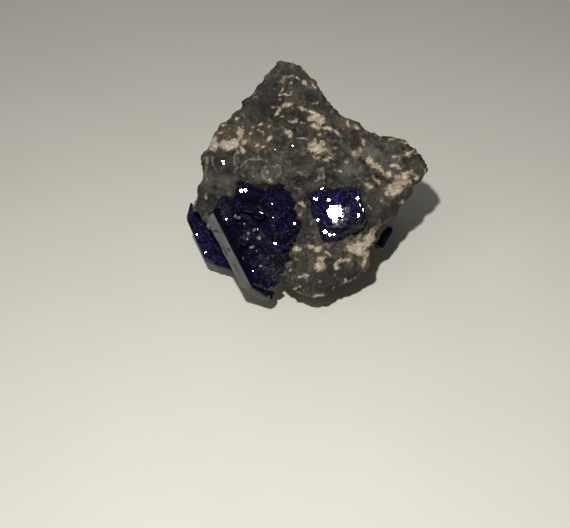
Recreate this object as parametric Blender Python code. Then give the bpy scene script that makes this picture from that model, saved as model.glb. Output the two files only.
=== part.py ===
"""Azurite specimen: deep blue azurite crystals on a lump of grey host rock.

Run it with   blender --background --python part.py   or from Blender's text editor.
Metres, +Z up. The rock rests on its flat broken base at z = 0, and the middle of its
bounding box is over the origin. Its display face, where the crystals grow, leans back
over the base and is turned towards -Y.

The rock and the crystals are laid out in the face frame: u runs to the right across the
display face, v up its slope and w straight out of it, all in millimetres.
"""

import math

import bmesh
import bpy
from mathutils import Matrix, Vector, noise

MM = 0.001

# ---------------------------------------------------------------- driving dimensions, mm
FACE_RISE = math.radians(43.5)  # slope of the display face above the table
FACE_CENTRE = Vector((0.7, -4.7, 12.8))  # middle of the display face
CRYSTAL_GAP = 0.3  # clearance between a crystal and the socket it sits in

# ---------------------------------------------------------------- host rock
ROCK_HEART = Vector((0.0, 0.0, -9.0))  # inner point from which all of the rock can be seen
ROCK_DETAIL = 5  # subdivisions of the sphere that the rock is drawn out of
SIDE_TAPER = 0.02  # share by which the outline shrinks for each mm behind the rim
RIM_LEVEL = 0.5  # w of the rim that the outline draws
EDGE_SHARPNESS = 48  # higher gives crisper edges where two facets meet
# Rim of the display face, (u, v), anticlockwise from the tip of the right prong.
RIM = (
    (14.4, 1.2), (13.9, 3.2), (13.0, 4.4), (11.4, 4.9), (8.8, 5.6), (5.2, 7.9), (2.9, 10.3),
    (1.9, 12.9), (0.2, 14.4), (-2.6, 15.9), (-4.6, 13.8), (-7.0, 11.6), (-7.4, 9.6), (-10.9, 7.9),
    (-12.8, 5.1), (-13.4, 2.2), (-14.8, -1.0), (-13.2, -3.6), (-8.6, -6.4), (-5.4, -9.8),
    (-3.2, -12.0), (0.3, -13.4), (4.0, -12.3), (6.5, -10.0), (6.7, -7.9), (8.1, -6.5),
    (9.8, -4.9), (10.7, -3.4), (12.4, -1.2),
)
# The front is the union of three blocks, each bounded by broken facets:
# (outward normal in u, v, w), (a point on the facet).
PEAK_BLOCK = (
    ((-0.03, 0.06, 1.0), (-3.0, 6.0, 1.9)),
    ((-0.52, 0.30, 0.80), (-6.8, 11.4, 0.9)),
    ((0.40, 0.20, 0.89), (1.0, 11.0, 1.2)),
    ((0.30, 0.55, 0.78), (1.0, 14.4, 0.9)),
    ((-0.05, -0.45, 0.89), (-4.0, 1.8, 2.0)),
    ((-0.35, -0.50, 0.79), (-9.5, 4.4, 1.7)),
)
PRONG_BLOCK = (
    ((0.06, 0.05, 1.0), (7.0, 1.5, 2.0)),
    ((0.25, 0.62, 0.75), (9.5, 5.7, 0.8)),
    ((0.45, -0.52, 0.73), (10.0, -3.0, 1.0)),
    ((0.75, 0.10, 0.66), (14.0, 2.0, 0.7)),
    ((-0.30, -0.50, 0.81), (3.5, 0.4, 1.8)),
)
BODY_BLOCK = (
    ((-0.02, -0.03, 1.0), (0.0, -4.0, 1.4)),
    ((0.02, -0.60, 0.80), (1.0, -12.4, 0.9)),
    ((0.60, -0.25, 0.76), (6.4, -9.0, 0.9)),
    ((-0.60, 0.05, 0.80), (-13.0, 2.0, 0.8)),
    ((-0.15, -0.03, 0.98), (-3.0, -4.0, 1.3)),
    ((-0.45, -0.50, 0.74), (-9.6, -6.0, 0.2)),
)
# The back and the undercut sides, in the world's directions: (outward normal), (a point).
BACK_FACETS = (
    ((0.10, 0.93, 0.36), (-2.1, 12.7, 12.0)),
    ((-0.55, 0.80, 0.10), (-9.1, 8.4, 8.0)),
    ((0.62, 0.75, -0.10), (7.9, 8.4, 8.0)),
    ((0.80, -0.05, -0.60), (13.4, -0.8, 9.5)),
    ((-0.93, 0.0, -0.36), (-13.0, -0.8, 6.0)),
    ((0.05, -0.42, -0.91), (-2.1, -14.6, 3.2)),
    ((0.45, -0.45, -0.77), (7.9, -8.8, 4.5)),
    ((0.0, 0.0, -1.0), (0.0, 0.0, -1.5)),
)
ROUGHNESS = ((5.0, 0.50), (2.2, 0.40))  # (size, height) of the rock's lumps and knobs

# ---------------------------------------------------------------- azurite
# Azurite is monoclinic. Its unit cell gives the angle between any two crystal faces.
CELL_A, CELL_B, CELL_C = 5.011, 5.850, 10.345
CELL_BETA = math.radians(92.4)
# A habit lists the forms that bound a crystal: (h, k, l) and its distance from the middle
# as a share of the crystal's size.
TABLET = (
    ((0, 0, 1), 0.62),
    ((1, 0, 1), 0.90),
    ((-1, 0, 1), 0.90),
    ((0, 1, 1), 0.87),
    ((1, 1, 1), 1.10),
    ((-1, 1, 1), 1.10),
    ((1, 1, 0), 1.18),
    ((0, 1, 3), 0.80),
)
PLATE = (
    ((0, 0, 1), 0.30),
    ((1, 0, 1), 0.90),
    ((-1, 0, 1), 0.88),
    ((0, 1, 1), 0.90),
    ((1, 1, 1), 1.16),
    ((-1, 1, 1), 1.20),
)
BLADE = (
    ((0, 0, 1), 0.075),
    ((1, 0, 0), 0.46),
    ((1, 0, 1), 0.47),
    ((1, 1, 0), 0.74),
    ((0, 1, 1), 0.86),
    ((-1, 1, 1), 0.70),
)
LATH = (
    ((0, 0, 1), 0.08),
    ((1, 0, 0), 0.38),
    ((1, 0, 1), 0.39),
    ((1, 1, 0), 0.66),
    ((-1, 1, 1), 0.64),
)
# Each crystal: habit, size, middle, direction of its flat side, direction of its b axis,
# and where it is broken off: (outward normal, point) of each break.
TABLET_GROUP = (
    (TABLET, 3.0, (3.3, -3.1, 1.3), (-0.09, 0.087, 0.992), (0.98, 0.17, 0.0), ()),
    (TABLET, 1.7, (1.3, -1.8, 1.75), (-0.16, 0.14, 0.97), (0.98, 0.17, 0.0), ()),
    (TABLET, 1.7, (2.2, -4.8, 1.55), (-0.12, -0.04, 0.99), (0.98, 0.17, 0.0), ()),
    (PLATE, 1.4, (4.4, -1.6, 1.8), (0.10, 0.30, 0.95), (0.98, -0.15, 0.0), ()),
    (PLATE, 1.2, (2.2, -1.6, 1.8), (-0.20, 0.20, 0.95), (0.95, 0.30, 0.0), ()),
    (PLATE, 1.2, (2.2, -5.0, 1.7), (-0.15, -0.15, 0.97), (0.95, -0.20, 0.0), ()),
)
BLADE_BREAKS = (
    ((0.93, -0.35, 0.0), (-5.7, -12.2, 0.0)),
    ((-0.38, 0.92, 0.0), (-11.3, -1.5, 2.0)),
)
ROSETTE_GROUP = (
    (BLADE, 7.7, (-8.55, -5.75, -0.4), (0.785, 0.248, 0.57), (0.31, -0.934, -0.17), BLADE_BREAKS),
    (TABLET, 3.5, (-6.2, -3.4, -0.5), (0.25, 0.25, 0.94), (0.8, 0.6, 0.0), ()),
    (TABLET, 2.8, (-6.0, -7.5, 0.0), (0.2, -0.1, 0.99), (0.5, 0.8, 0.0), ()),
    (PLATE, 1.8, (-7.4, -0.7, 2.2), (-0.05, 0.30, 0.95), (0.95, -0.31, 0.0), ()),
    (PLATE, 1.9, (-4.4, -1.5, 2.3), (0.30, 0.30, 0.90), (0.72, 0.69, 0.0), ()),
    (PLATE, 2.2, (-4.1, -4.6, 2.2), (0.45, 0.00, 0.89), (0.8, 0.6, 0.0), ()),
    (PLATE, 2.0, (-5.3, -7.4, 1.6), (0.45, -0.15, 0.88), (0.95, -0.3, 0.0), ()),
    (PLATE, 1.7, (-6.3, -9.9, 0.6), (0.55, -0.15, 0.82), (0.9, -0.4, 0.0), ()),
    (TABLET, 1.7, (-10.1, -1.8, 1.0), (-0.35, 0.25, 0.90), (0.8, -0.5, 0.0), ()),
    (TABLET, 1.5, (-8.4, -4.6, 1.3), (-0.20, 0.25, 0.95), (0.6, -0.7, 0.0), ()),
    (TABLET, 1.2, (-7.2, -7.4, 1.0), (0.25, -0.10, 0.95), (0.9, 0.3, 0.0), ()),
    (TABLET, 0.9, (-6.2, -2.4, 2.4), (0.20, 0.30, 0.93), (0.5, 0.8, 0.0), ()),
)
SIDE_BLADE_BREAKS = (
    ((0.69, 0.72, 0.0), (-14.7, -0.3, -3.4)),
    ((-0.40, -0.92, 0.0), (-12.5, -8.2, -7.3)),
)
SIDE_BLADE_GROUP = (
    (LATH, 5.7, (-12.6, -4.4, -5.0), (-0.22, -0.15, 0.96), (0.33, -0.94, -0.07), SIDE_BLADE_BREAKS),
    (PLATE, 1.3, (-11.9, -7.1, -5.3), (-0.20, -0.30, 0.93), (0.5, -0.8, 0.0), ()),
)
UNDERSIDE_GROUP = (
    (PLATE, 1.6, (8.2, -5.8, -2.6), (0.35, -0.30, 0.89), (0.5, 0.8, 0.0), ()),
)


def face_matrix():
    """Face frame to world, in millimetres."""
    return Matrix.Translation(FACE_CENTRE) @ Matrix.Rotation(FACE_RISE, 4, "X")


def collection(name):
    made = bpy.data.collections.new(name)
    bpy.context.scene.collection.children.link(made)
    return made


def clear_scene():
    for obj in list(bpy.data.objects):
        bpy.data.objects.remove(obj)


def finish(name, color, roughness, metallic=0.0):
    material = bpy.data.materials.new(name)
    material.use_nodes = True
    shader = material.node_tree.nodes["Principled BSDF"]
    shader.inputs["Base Color"].default_value = (*color, 1.0)
    shader.inputs["Roughness"].default_value = roughness
    shader.inputs["Metallic"].default_value = metallic
    return material


def new_object(name, bm, place, material=None):
    mesh = bpy.data.meshes.new(name)
    bm.to_mesh(mesh)
    bm.free()
    obj = bpy.data.objects.new(name, mesh)
    place.objects.link(obj)
    if material:
        mesh.materials.append(material)
    return obj


def slice_off(bm, point, normal):
    """Cut the body by a plane, keep what is behind it and close the cut."""
    cut = bmesh.ops.bisect_plane(
        bm,
        geom=bm.verts[:] + bm.edges[:] + bm.faces[:],
        dist=1e-4,
        plane_co=point,
        plane_no=normal,
        clear_outer=True,
    )
    rim = [e for e in cut["geom_cut"] if isinstance(e, bmesh.types.BMEdge)]
    if rim:
        bmesh.ops.contextual_create(bm, geom=rim)


def boolean(obj, other, operation):
    modifier = obj.modifiers.new(other.name, "BOOLEAN")
    modifier.operation = operation
    modifier.object = other


def hide(obj):
    obj.hide_render = True
    obj.display_type = "WIRE"
    return obj


# ================================================================ the host rock
def rim_reach(direction):
    """Distance from the middle of the face to its rim, along (u, v)."""
    corners = [Vector(p) for p in RIM]
    for start, end in zip(corners, corners[1:] + corners[:1]):
        side = end - start
        across = direction.x * side.y - direction.y * side.x
        if abs(across) < 1e-9:
            continue
        reach = (start.x * side.y - start.y * side.x) / across
        share = (start.x * direction.y - start.y * direction.x) / across
        if reach > 0 and 0 <= share <= 1:
            return reach
    return corners[0].length


def facet_limits(direction, facets):
    """Distances from the heart to each facet plane ahead, in the face frame."""
    limits = []
    for normal, point in facets:
        normal = Vector(normal).normalized()
        ahead = direction.dot(normal)
        if ahead > 1e-4:
            limits.append((Vector(point) - ROCK_HEART).dot(normal) / ahead)
    return limits


def soft_min(values):
    return sum(v**-EDGE_SHARPNESS for v in values) ** (-1 / EDGE_SHARPNESS)


def rock_radius(direction, back_facets):
    """Distance from the heart to the rock's smooth surface along a unit vector (u, v, w)."""
    limits = facet_limits(direction, back_facets)
    across = Vector((direction.x, direction.y))
    if across.length > 1e-4:
        reach = rim_reach(across.normalized())
        spread = across.length - reach * SIDE_TAPER * direction.z
        if spread > 1e-4:
            limits.append(reach * (1 + SIDE_TAPER * (ROCK_HEART.z - RIM_LEVEL)) / spread)
    if direction.z > 0.02:
        blocks = [facet_limits(direction, b) for b in (PEAK_BLOCK, PRONG_BLOCK, BODY_BLOCK)]
        limits.append(max(soft_min(b) for b in blocks if b))
    return soft_min(limits)


def to_face_frame(facets):
    """World facets expressed in the face frame."""
    inverse = face_matrix().inverted()
    turn = inverse.to_3x3()
    return [(turn @ Vector(n).normalized(), inverse @ Vector(p)) for n, p in facets]


def host_rock(place, material, sockets):
    """The broken lump, with a flat base and a socket round each crystal group."""
    back_facets = to_face_frame(BACK_FACETS)
    bm = bmesh.new()
    bmesh.ops.create_icosphere(bm, subdivisions=ROCK_DETAIL, radius=1.0)
    for vertex in bm.verts:
        direction = vertex.co.normalized()
        surface = ROCK_HEART + direction * rock_radius(direction, back_facets)
        for size, height in ROUGHNESS:
            surface += direction * height * noise.fractal(surface / size, 1.0, 2.0, 2)
        vertex.co = surface
    bmesh.ops.transform(bm, matrix=face_matrix(), verts=bm.verts)
    slice_off(bm, (0, 0, 0), (0, 0, -1))
    bmesh.ops.scale(bm, vec=(MM, MM, MM), verts=bm.verts)
    bmesh.ops.recalc_face_normals(bm, faces=bm.faces)
    rock = new_object("host_rock", bm, place, material)
    for socket in sockets:
        boolean(rock, socket, "DIFFERENCE")
    return rock


# ================================================================ the azurite
def face_normals(h, k, l):
    """Outward normals of the faces of form (h k l): a along x, b along y, both in (0 0 1)."""
    normals = []
    for signs in ((1, 1, 1), (-1, 1, -1), (-1, -1, -1), (1, -1, 1)):
        i, j, m = (index * sign for index, sign in zip((h, k, l), signs))
        rise = (m / CELL_C - i * math.cos(CELL_BETA) / CELL_A) / math.sin(CELL_BETA)
        normal = Vector((i / CELL_A, j / CELL_B, rise)).normalized()
        if all((normal - other).length > 1e-6 for other in normals):
            normals.append(normal)
    return normals


def crystal(name, habit, size, middle, flat_side, b_axis, breaks, place, clearance=0.0):
    """One crystal: a block cut back to each of its faces. Clearance moves every face out."""
    bm = bmesh.new()
    bmesh.ops.create_cube(bm, size=4 * size)
    for form, share in habit:
        for normal in face_normals(*form):
            slice_off(bm, normal * (share * size + clearance), normal)
    z_axis = Vector(flat_side).normalized()
    x_axis = Vector(b_axis).cross(z_axis).normalized()
    y_axis = z_axis.cross(x_axis)
    turn = Matrix((x_axis, y_axis, z_axis)).transposed().to_4x4()
    bmesh.ops.transform(bm, matrix=Matrix.Translation(middle) @ turn, verts=bm.verts)
    for normal, point in breaks:
        normal = Vector(normal).normalized()
        slice_off(bm, Vector(point) + normal * clearance, normal)
    bmesh.ops.transform(bm, matrix=Matrix.Scale(MM, 4) @ face_matrix(), verts=bm.verts)
    return new_object(name, bm, place)


def crystal_group(name, crystals, place, helpers, clearance=0.0):
    """Crystals that have grown together, joined into one body."""
    first, *others = (
        crystal(f"{name}_{i}", *shape, helpers if i else place, clearance)
        for i, shape in enumerate(crystals)
    )
    for other in others:
        boolean(first, hide(other), "UNION")
    first.name = name
    return first


def main():
    clear_scene()
    specimen = collection("azurite_specimen")
    helpers = collection("sockets_and_joined_crystals")
    rock_finish = finish("host_rock", (0.085, 0.082, 0.074), 0.85)
    azurite_finish = finish("azurite", (0.010, 0.012, 0.090), 0.12)
    groups = {
        "azurite_tablet": TABLET_GROUP,
        "azurite_rosette": ROSETTE_GROUP,
        "azurite_side_blade": SIDE_BLADE_GROUP,
        "azurite_underside_crystal": UNDERSIDE_GROUP,
    }
    sockets = []
    for name, crystals in groups.items():
        group = crystal_group(name, crystals, specimen, helpers)
        group.data.materials.append(azurite_finish)
        socket = crystal_group(f"{name}_socket", crystals, helpers, helpers, CRYSTAL_GAP)
        sockets.append(hide(socket))
    host_rock(specimen, rock_finish, sockets)


main()
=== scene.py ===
"""Azurite specimen: deep blue azurite crystals on a broken lump of grey host rock.

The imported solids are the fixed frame. Each piece here gives one of them its real surface, and
stands where that solid stands. Sizes are in millimetres unless a name says otherwise.

Face frame: u runs to the right across the display face, v up its slope, w straight out of it.
"""

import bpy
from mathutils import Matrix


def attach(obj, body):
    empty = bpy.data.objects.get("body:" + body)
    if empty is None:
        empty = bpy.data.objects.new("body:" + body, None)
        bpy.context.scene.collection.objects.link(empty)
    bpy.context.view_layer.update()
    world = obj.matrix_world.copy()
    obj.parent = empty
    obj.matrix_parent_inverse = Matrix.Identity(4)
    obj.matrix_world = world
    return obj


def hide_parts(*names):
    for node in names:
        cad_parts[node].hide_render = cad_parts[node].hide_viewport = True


bl_info = {
    "name": "Azurite Specimen",
    "version": (1, 0, 0),
    "blender": (4, 5, 0),
    "location": "3D View > Sidebar > Azurite",
    "description": "Rock, crust and crystals of an azurite hand specimen",
    "category": "Add Mesh",
}

import math
import random

import bmesh
import bpy
import numpy as np
from bpy.props import FloatProperty, FloatVectorProperty, PointerProperty
from bpy.types import Operator, Panel, PropertyGroup
from mathutils import Matrix, Vector, noise
from mathutils.bvhtree import BVHTree

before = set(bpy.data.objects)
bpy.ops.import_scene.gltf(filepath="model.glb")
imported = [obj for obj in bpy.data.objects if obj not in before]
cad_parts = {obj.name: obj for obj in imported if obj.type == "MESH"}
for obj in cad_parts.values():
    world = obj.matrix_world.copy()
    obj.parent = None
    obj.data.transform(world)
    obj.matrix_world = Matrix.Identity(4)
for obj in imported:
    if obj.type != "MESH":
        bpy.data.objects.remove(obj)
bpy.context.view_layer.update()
MM = 0.001
# Lengths under TINY count as none, as do turns under PARALLEL; ABOVE_ZERO keeps a sum off zero.
# Two normals that differ by less than SAME_FACE belong to one crystal face.
TINY = 1e-4
SAME_FACE = 1e-6
PARALLEL = 1e-9
ABOVE_ZERO = 1e-300

# ================================================================ the host rock's shape
FACE_RISE = math.radians(43.5)
FACE_CENTRE = Vector((0.7, -4.7, 12.8))
FACE_TO_WORLD = Matrix.Translation(FACE_CENTRE) @ Matrix.Rotation(FACE_RISE, 4, "X")
# The lump is drawn outward from its heart, a place behind the display face.
ROCK_HEART = np.array((0.0, 0.0, -9.0))
ROCK_DETAIL = 7
# Its sides narrow a little to the front, and reach the rim's outline at this level.
SIDE_TAPER = 0.02
RIM_LEVEL = 0.5
# The front blocks shape only what lies this far forward of the heart.
FRONT_FROM = 0.02
EDGE_SHARPNESS = 48
# Its large knobs: size and height.
ROUGHNESS = ((5.0, 0.50), (2.2, 0.40))
RIM = (
    (14.4, 1.2), (13.9, 3.2), (12.9, 4.2), (11.4, 4.6), (8.8, 5.4), (5.2, 7.6), (2.8, 9.9), (1.8, 12.5),
    (0.1, 14.0), (-2.6, 15.3), (-4.5, 13.4), (-6.7, 11.5), (-7.2, 9.7), (-10.9, 7.8), (-12.9, 5.1),
    (-13.5, 2.2), (-15.0, -1.0), (-13.4, -3.6), (-8.6, -6.4), (-5.4, -9.8), (-3.2, -12.0), (0.3, -13.4),
    (4.0, -12.3), (6.5, -10.0), (6.7, -7.9), (8.1, -6.5), (9.8, -4.9), (10.7, -3.4), (12.4, -1.2),
)
# The three blocks of the front, and the back, as facets: outward normal and a point on it.
PEAK_BLOCK = (
    ((-0.03, 0.06, 1.0), (-3.0, 6.0, 1.9)), ((-0.52, 0.3, 0.8), (-6.8, 11.4, 0.9)),
    ((0.4, 0.2, 0.89), (1.0, 11.0, 1.2)), ((0.3, 0.55, 0.78), (1.0, 14.4, 0.9)),
    ((-0.05, -0.45, 0.89), (-4.0, 1.8, 2.0)), ((-0.35, -0.5, 0.79), (-9.5, 4.4, 1.7)),
)
PRONG_BLOCK = (
    ((0.06, 0.05, 1.0), (7.0, 1.5, 2.0)), ((0.25, 0.62, 0.75), (9.5, 5.7, 0.8)),
    ((0.45, -0.52, 0.73), (10.0, -3.0, 1.0)), ((0.75, 0.1, 0.66), (14.0, 2.0, 0.7)),
    ((-0.3, -0.5, 0.81), (3.5, 0.4, 1.8)),
)
BODY_BLOCK = (
    ((-0.02, -0.03, 1.0), (0.0, -4.0, 1.4)), ((0.02, -0.6, 0.8), (1.0, -12.4, 0.9)),
    ((0.6, -0.25, 0.76), (6.4, -9.0, 0.9)), ((-0.6, 0.05, 0.8), (-13.0, 2.0, 0.8)),
    ((-0.15, -0.03, 0.98), (-3.0, -4.0, 1.3)), ((-0.45, -0.5, 0.74), (-9.6, -6.0, 0.2)),
)
BACK_FACETS = (
    ((0.1, 0.93, 0.36), (-2.1, 12.7, 12.0)), ((-0.55, 0.8, 0.1), (-9.1, 8.4, 8.0)),
    ((0.62, 0.75, -0.1), (7.9, 8.4, 8.0)), ((0.8, -0.05, -0.6), (13.4, -0.8, 9.5)),
    ((-0.93, 0.0, -0.36), (-13.2, -0.8, 6.0)), ((0.05, -0.42, -0.91), (-2.1, -14.6, 3.2)),
    ((0.45, -0.45, -0.77), (7.9, -8.8, 4.5)), ((0.0, 0.0, -1.0), (0.0, 0.0, -1.5)),
)

# ---------------------------------------------------------------- marks on the display face
# Chalky crust, as ellipses: u, v, half length, half width, angle, and how pink it is.
CRUST = (
    (-1.2, 13.4, 0.3, 0.18, 15, 0.3), (-0.5, 13.2, 0.36, 0.14, -55, 0.2),
    (0.3, 12.5, 0.42, 0.29, -75, 0.1), (1.4, 12.0, 0.48, 0.19, -35, 0.2),
    (-2.5, 12.0, 0.54, 0.13, 40, 0.3), (-2.2, 11.4, 0.84, 0.14, -5, 0.6),
    (-2.0, 10.1, 0.66, 0.29, 5, 0.2), (-3.0, 9.4, 0.66, 0.23, 45, 0.1), (-2.6, 8.7, 0.24, 0.18, -5, 0.7),
    (0.0, 9.4, 0.6, 0.22, -25, 0.1), (1.0, 8.9, 0.72, 0.26, -25, 0.1), (0.8, 8.2, 0.66, 0.36, 5, 0.2),
    (1.7, 8.1, 0.84, 0.6, -35, 0.1), (1.2, 7.2, 0.72, 0.36, -15, 0.1), (2.5, 6.9, 0.72, 0.22, -25, 0.1),
    (3.6, 6.4, 0.72, 0.18, -40, 0.2), (-1.4, 8.0, 0.6, 0.14, -10, 0.0), (-0.2, 7.7, 0.36, 0.18, 5, 0.2),
    (-2.0, 6.6, 0.6, 0.38, -65, 0.1), (-0.7, 5.9, 0.48, 0.14, -10, 0.1), (1.0, 5.6, 0.3, 0.24, 0, 0.1),
    (1.0, 4.6, 1.08, 0.78, -15, 0.0), (1.8, 5.2, 0.48, 0.48, 0, 0.0), (0.9, 3.5, 0.54, 0.22, -15, 0.2),
    (2.3, 3.2, 0.6, 0.34, 20, 0.1), (-9.3, 6.0, 1.2, 0.72, -17, 0.0), (-8.4, 6.2, 0.6, 0.6, 0, 0.05),
    (-11.2, 6.1, 0.84, 0.54, 5, 0.8), (-11.2, 6.7, 0.6, 0.36, 45, 0.8), (-7.8, 7.2, 0.72, 0.43, 65, 0.2),
    (-7.3, 6.1, 0.43, 0.31, 25, 0.3), (-6.7, 7.1, 0.31, 0.24, 0, 0.3), (-9.6, 8.2, 0.29, 0.14, 0, 0.5),
    (-8.1, 8.8, 0.24, 0.18, 0, 0.3), (-10.1, 7.5, 0.36, 0.12, 0, 0.5), (-7.7, 5.1, 0.48, 0.24, -65, 0.8),
    (-4.3, 7.6, 0.38, 0.24, 15, 0.3), (-4.4, 6.2, 0.31, 0.29, 0, 0.1), (-5.9, 5.5, 0.48, 0.22, 5, 0.9),
    (-5.1, 5.3, 0.36, 0.18, -25, 0.9), (-5.3, 8.0, 0.36, 0.12, 5, 0.3), (-6.3, 7.7, 0.24, 0.12, 35, 0.3),
    (6.0, 6.6, 0.54, 0.24, -40, 0.4), (5.1, 7.2, 0.42, 0.22, -55, 0.5), (6.6, 5.0, 0.48, 0.22, -65, 0.5),
    (6.3, 4.0, 0.48, 0.29, 65, 0.5), (5.6, 3.6, 0.6, 0.43, -65, 0.5), (7.2, 2.7, 0.72, 0.55, -35, 0.1),
    (7.9, 2.0, 0.78, 0.46, -30, 0.2), (8.6, 1.2, 0.6, 0.19, -55, 0.2), (10.2, 3.0, 0.36, 0.19, 5, 0.4),
    (11.6, 3.1, 0.84, 0.19, 10, 0.4), (12.5, 3.5, 0.48, 0.19, 25, 0.3), (10.5, 1.6, 0.48, 0.31, -35, 0.1),
    (9.7, 1.8, 0.42, 0.22, 0, 0.3), (9.3, 1.0, 0.41, 0.36, 0, 0.4), (10.4, 0.4, 0.72, 0.31, -25, 0.5),
    (11.3, 0.4, 0.72, 0.51, -50, 0.6), (11.7, 1.0, 0.6, 0.22, 15, 0.7), (10.6, -0.2, 0.96, 0.48, 0, 0.5),
    (9.5, -0.7, 0.72, 0.55, 0, 0.3), (10.1, -1.25, 1.2, 0.36, 22, 0.2), (10.4, -0.8, 0.72, 0.45, 0, 0.4),
    (11.3, -0.1, 0.72, 0.5, 5, 0.5), (9.0, -1.3, 0.34, 0.31, 0, 0.1), (6.9, -0.3, 0.65, 0.24, -40, 0.5),
    (8.1, 0.1, 0.48, 0.26, -55, 0.5), (12.8, 0.3, 0.54, 0.24, 25, 0.3), (13.8, 1.0, 0.36, 0.14, 55, 0.2),
    (10.8, -2.4, 0.42, 0.18, 25, 0.6), (7.0, -5.7, 0.84, 0.41, 35, 0.2), (6.4, -6.7, 0.96, 0.67, 55, 0.2),
    (5.1, -7.3, 1.08, 0.72, 15, 0.1), (4.3, -7.6, 0.6, 0.6, 0, 0.1), (5.9, -8.3, 0.6, 0.48, 55, 0.2),
    (5.3, -7.9, 0.85, 0.6, -50, 0.2), (5.6, -9.4, 0.72, 0.29, 75, 0.3), (0.3, -7.2, 0.66, 0.36, 25, 0.1),
    (1.4, -7.8, 0.6, 0.18, -40, 0.1), (-0.5, -6.9, 0.36, 0.34, 0, 0.1), (0.4, -9.3, 0.72, 0.65, 15, 0.0),
    (0.7, -8.4, 0.6, 0.24, 5, 0.1), (2.4, -9.3, 0.6, 0.36, 75, 0.1), (3.0, -8.8, 0.72, 0.3, 10, 0.1),
    (3.8, -8.8, 0.36, 0.26, 0, 0.2), (-1.4, -10.3, 0.54, 0.34, 15, 0.1), (0.4, -12.9, 1.44, 0.16, 0, 0.3),
    (3.7, -11.7, 0.72, 0.16, 45, 0.4), (-2.3, -7.0, 0.6, 0.36, 0, 0.3),
    (-1.2, -1.8, 0.48, 0.24, -40, 0.4), (-3.1, -9.5, 0.19, 0.19, 0, 0.0),
    (-2.8, -11.6, 0.26, 0.14, 15, 0.0), (-2.2, -10.4, 0.24, 0.17, 0, 0.1),
    (-4.8, 1.3, 0.36, 0.22, -45, 0.3), (4.5, 2.6, 0.31, 0.26, 0, 0.2), (3.7, 1.6, 0.26, 0.24, 0, 0.2),
    (1.6, 6.2, 0.24, 0.22, 0, 0.1), (3.2, -11.4, 0.24, 0.41, 0, 0.3), (10.2, 4.9, 0.7, 0.16, -12, 0.5),
    (11.7, 4.4, 0.55, 0.16, -15, 0.5),
)
# A plate of crust that stands proud of the left shoulder, and places worn smooth.
SHOULDER_SLAB = ((-9.4, 6.1, 1.9, 1.15, -15, 0),)
SMOOTH = (
    (8.6, -2.6, 3.4, 2.0, -20, 0), (4.6, 0.8, 2.4, 1.6, -30, 0), (-5.2, 11.2, 1.6, 3.2, -35, 0),
    (-1.5, -4.5, 1.6, 3.0, 10, 0), (1.5, -11.0, 2.6, 1.0, 0, 0),
)
# Broad changes of tone: the rock's own dark and pale parts, and painted shade on the flank below the
# prong, which turns away from the key. The last value is 1 for the darkest rock and below 0 for the palest.
ROCK_TONES_AND_PAINTED_SHADE = (
    (-4.2, 10.8, 2.2, 4.4, -38, 1.0), (-11.3, 4.0, 2.2, 1.0, 0, 0.9), (1.8, -10.6, 3.6, 2.2, 0, 1.0),
    (1.2, 10.9, 2.0, 0.8, -25, 1.0), (-1.0, 3.3, 2.2, 0.7, -5, 0.7), (7.0, -6.0, 1.4, 5.2, 8, 1.0),
    (-12.8, -0.6, 1.8, 2.4, 0, 0.8), (10.5, -3.0, 2.4, 1.1, 25, 1.0), (-2.0, 5.6, 3.4, 1.4, 5, 0.35),
    (3.6, 0.6, 2.2, 1.0, -10, 0.5), (-1.2, 8.6, 4.0, 1.4, -5, 0.8), (-1.0, -4.0, 1.1, 2.6, 0, 0.3),
    (7.4, 3.4, 2.6, 1.4, -25, -0.9), (5.1, 2.0, 1.7, 1.2, -10, -1.3), (-9.5, 2.2, 2.6, 0.9, 0, -0.3),
    (10.6, 1.4, 2.4, 1.0, -20, -0.5), (-3.0, 2.0, 2.0, 0.8, 0, -0.4), (-5.4, 1.5, 2.6, 0.7, -5, -0.6),
)
# Iron stain.
OCHRE = (
    (0.4, 13.6, 1.9, 0.9, -35, 0), (-2.0, 9.6, 1.4, 1.8, 0, 0), (-4.4, 6.0, 3.4, 1.2, 0, 0),
    (-10.0, 7.9, 2.6, 0.9, 25, 0), (10.8, 4.9, 2.6, 0.7, -12, 0), (4.6, 6.9, 2.4, 0.9, -35, 0),
    (-12.2, 2.6, 0.7, 3.0, 10, 0),
)
# Fine pale veins that stand slightly proud, and open cracks with painted shade in them, as lines across the
# face.
VEINS = (
    ((-8.8, 3.5), (-8.9, 4.1), (-8.6, 4.7), (-8.0, 5.1)),
    ((-8.8, 3.2), (-8.2, 3.1), (-7.7, 3.7), (-7.1, 3.9), (-6.0, 3.9), (-4.9, 3.7)),
    ((-6.2, 5.0), (-5.9, 4.5), (-5.8, 4.0)),
    ((-4.9, 1.3), (-5.5, 1.8), (-5.6, 2.4),
     (-5.2, 2.9), (-4.4, 3.0), (-3.5, 3.0), (-3.4, 2.4), (-3.6, 1.7)),
    ((-1.9, 2.3), (-1.1, 1.9), (-0.2, 1.3)), ((-12.2, 4.9), (-12.3, 3.7), (-12.5, 3.0), (-12.4, 2.2)),
    ((-11.3, 4.8), (-11.4, 3.8), (-11.2, 3.2)), ((-2.8, 12.9), (-1.8, 13.4), (-1.0, 13.2)),
    ((1.6, 3.9), (2.4, 4.3), (2.9, 3.6)), ((-4.3, -8.6), (-4.0, -9.4), (-3.7, -10.0)),
)
CRACKS = (
    ((5.9, -5.6), (6.5, -5.8), (7.2, -5.6), (7.6, -5.3)),
    ((-12.7, 5.2), (-11.6, 5.4), (-10.8, 5.1), (-9.7, 5.0), (-9.0, 4.9), (-8.2, 5.2)),
    ((0.0, 3.9), (1.4, 3.6), (3.2, 2.6)), ((4.4, 5.6), (5.4, 4.6), (6.2, 2.8), (7.0, 1.6)),
    ((8.0, 0.9), (9.0, 0.0), (10.4, -0.2), (12.0, 0.2)), ((-3.9, 8.9), (-2.4, 7.4), (-1.2, 6.9)),
)

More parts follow.
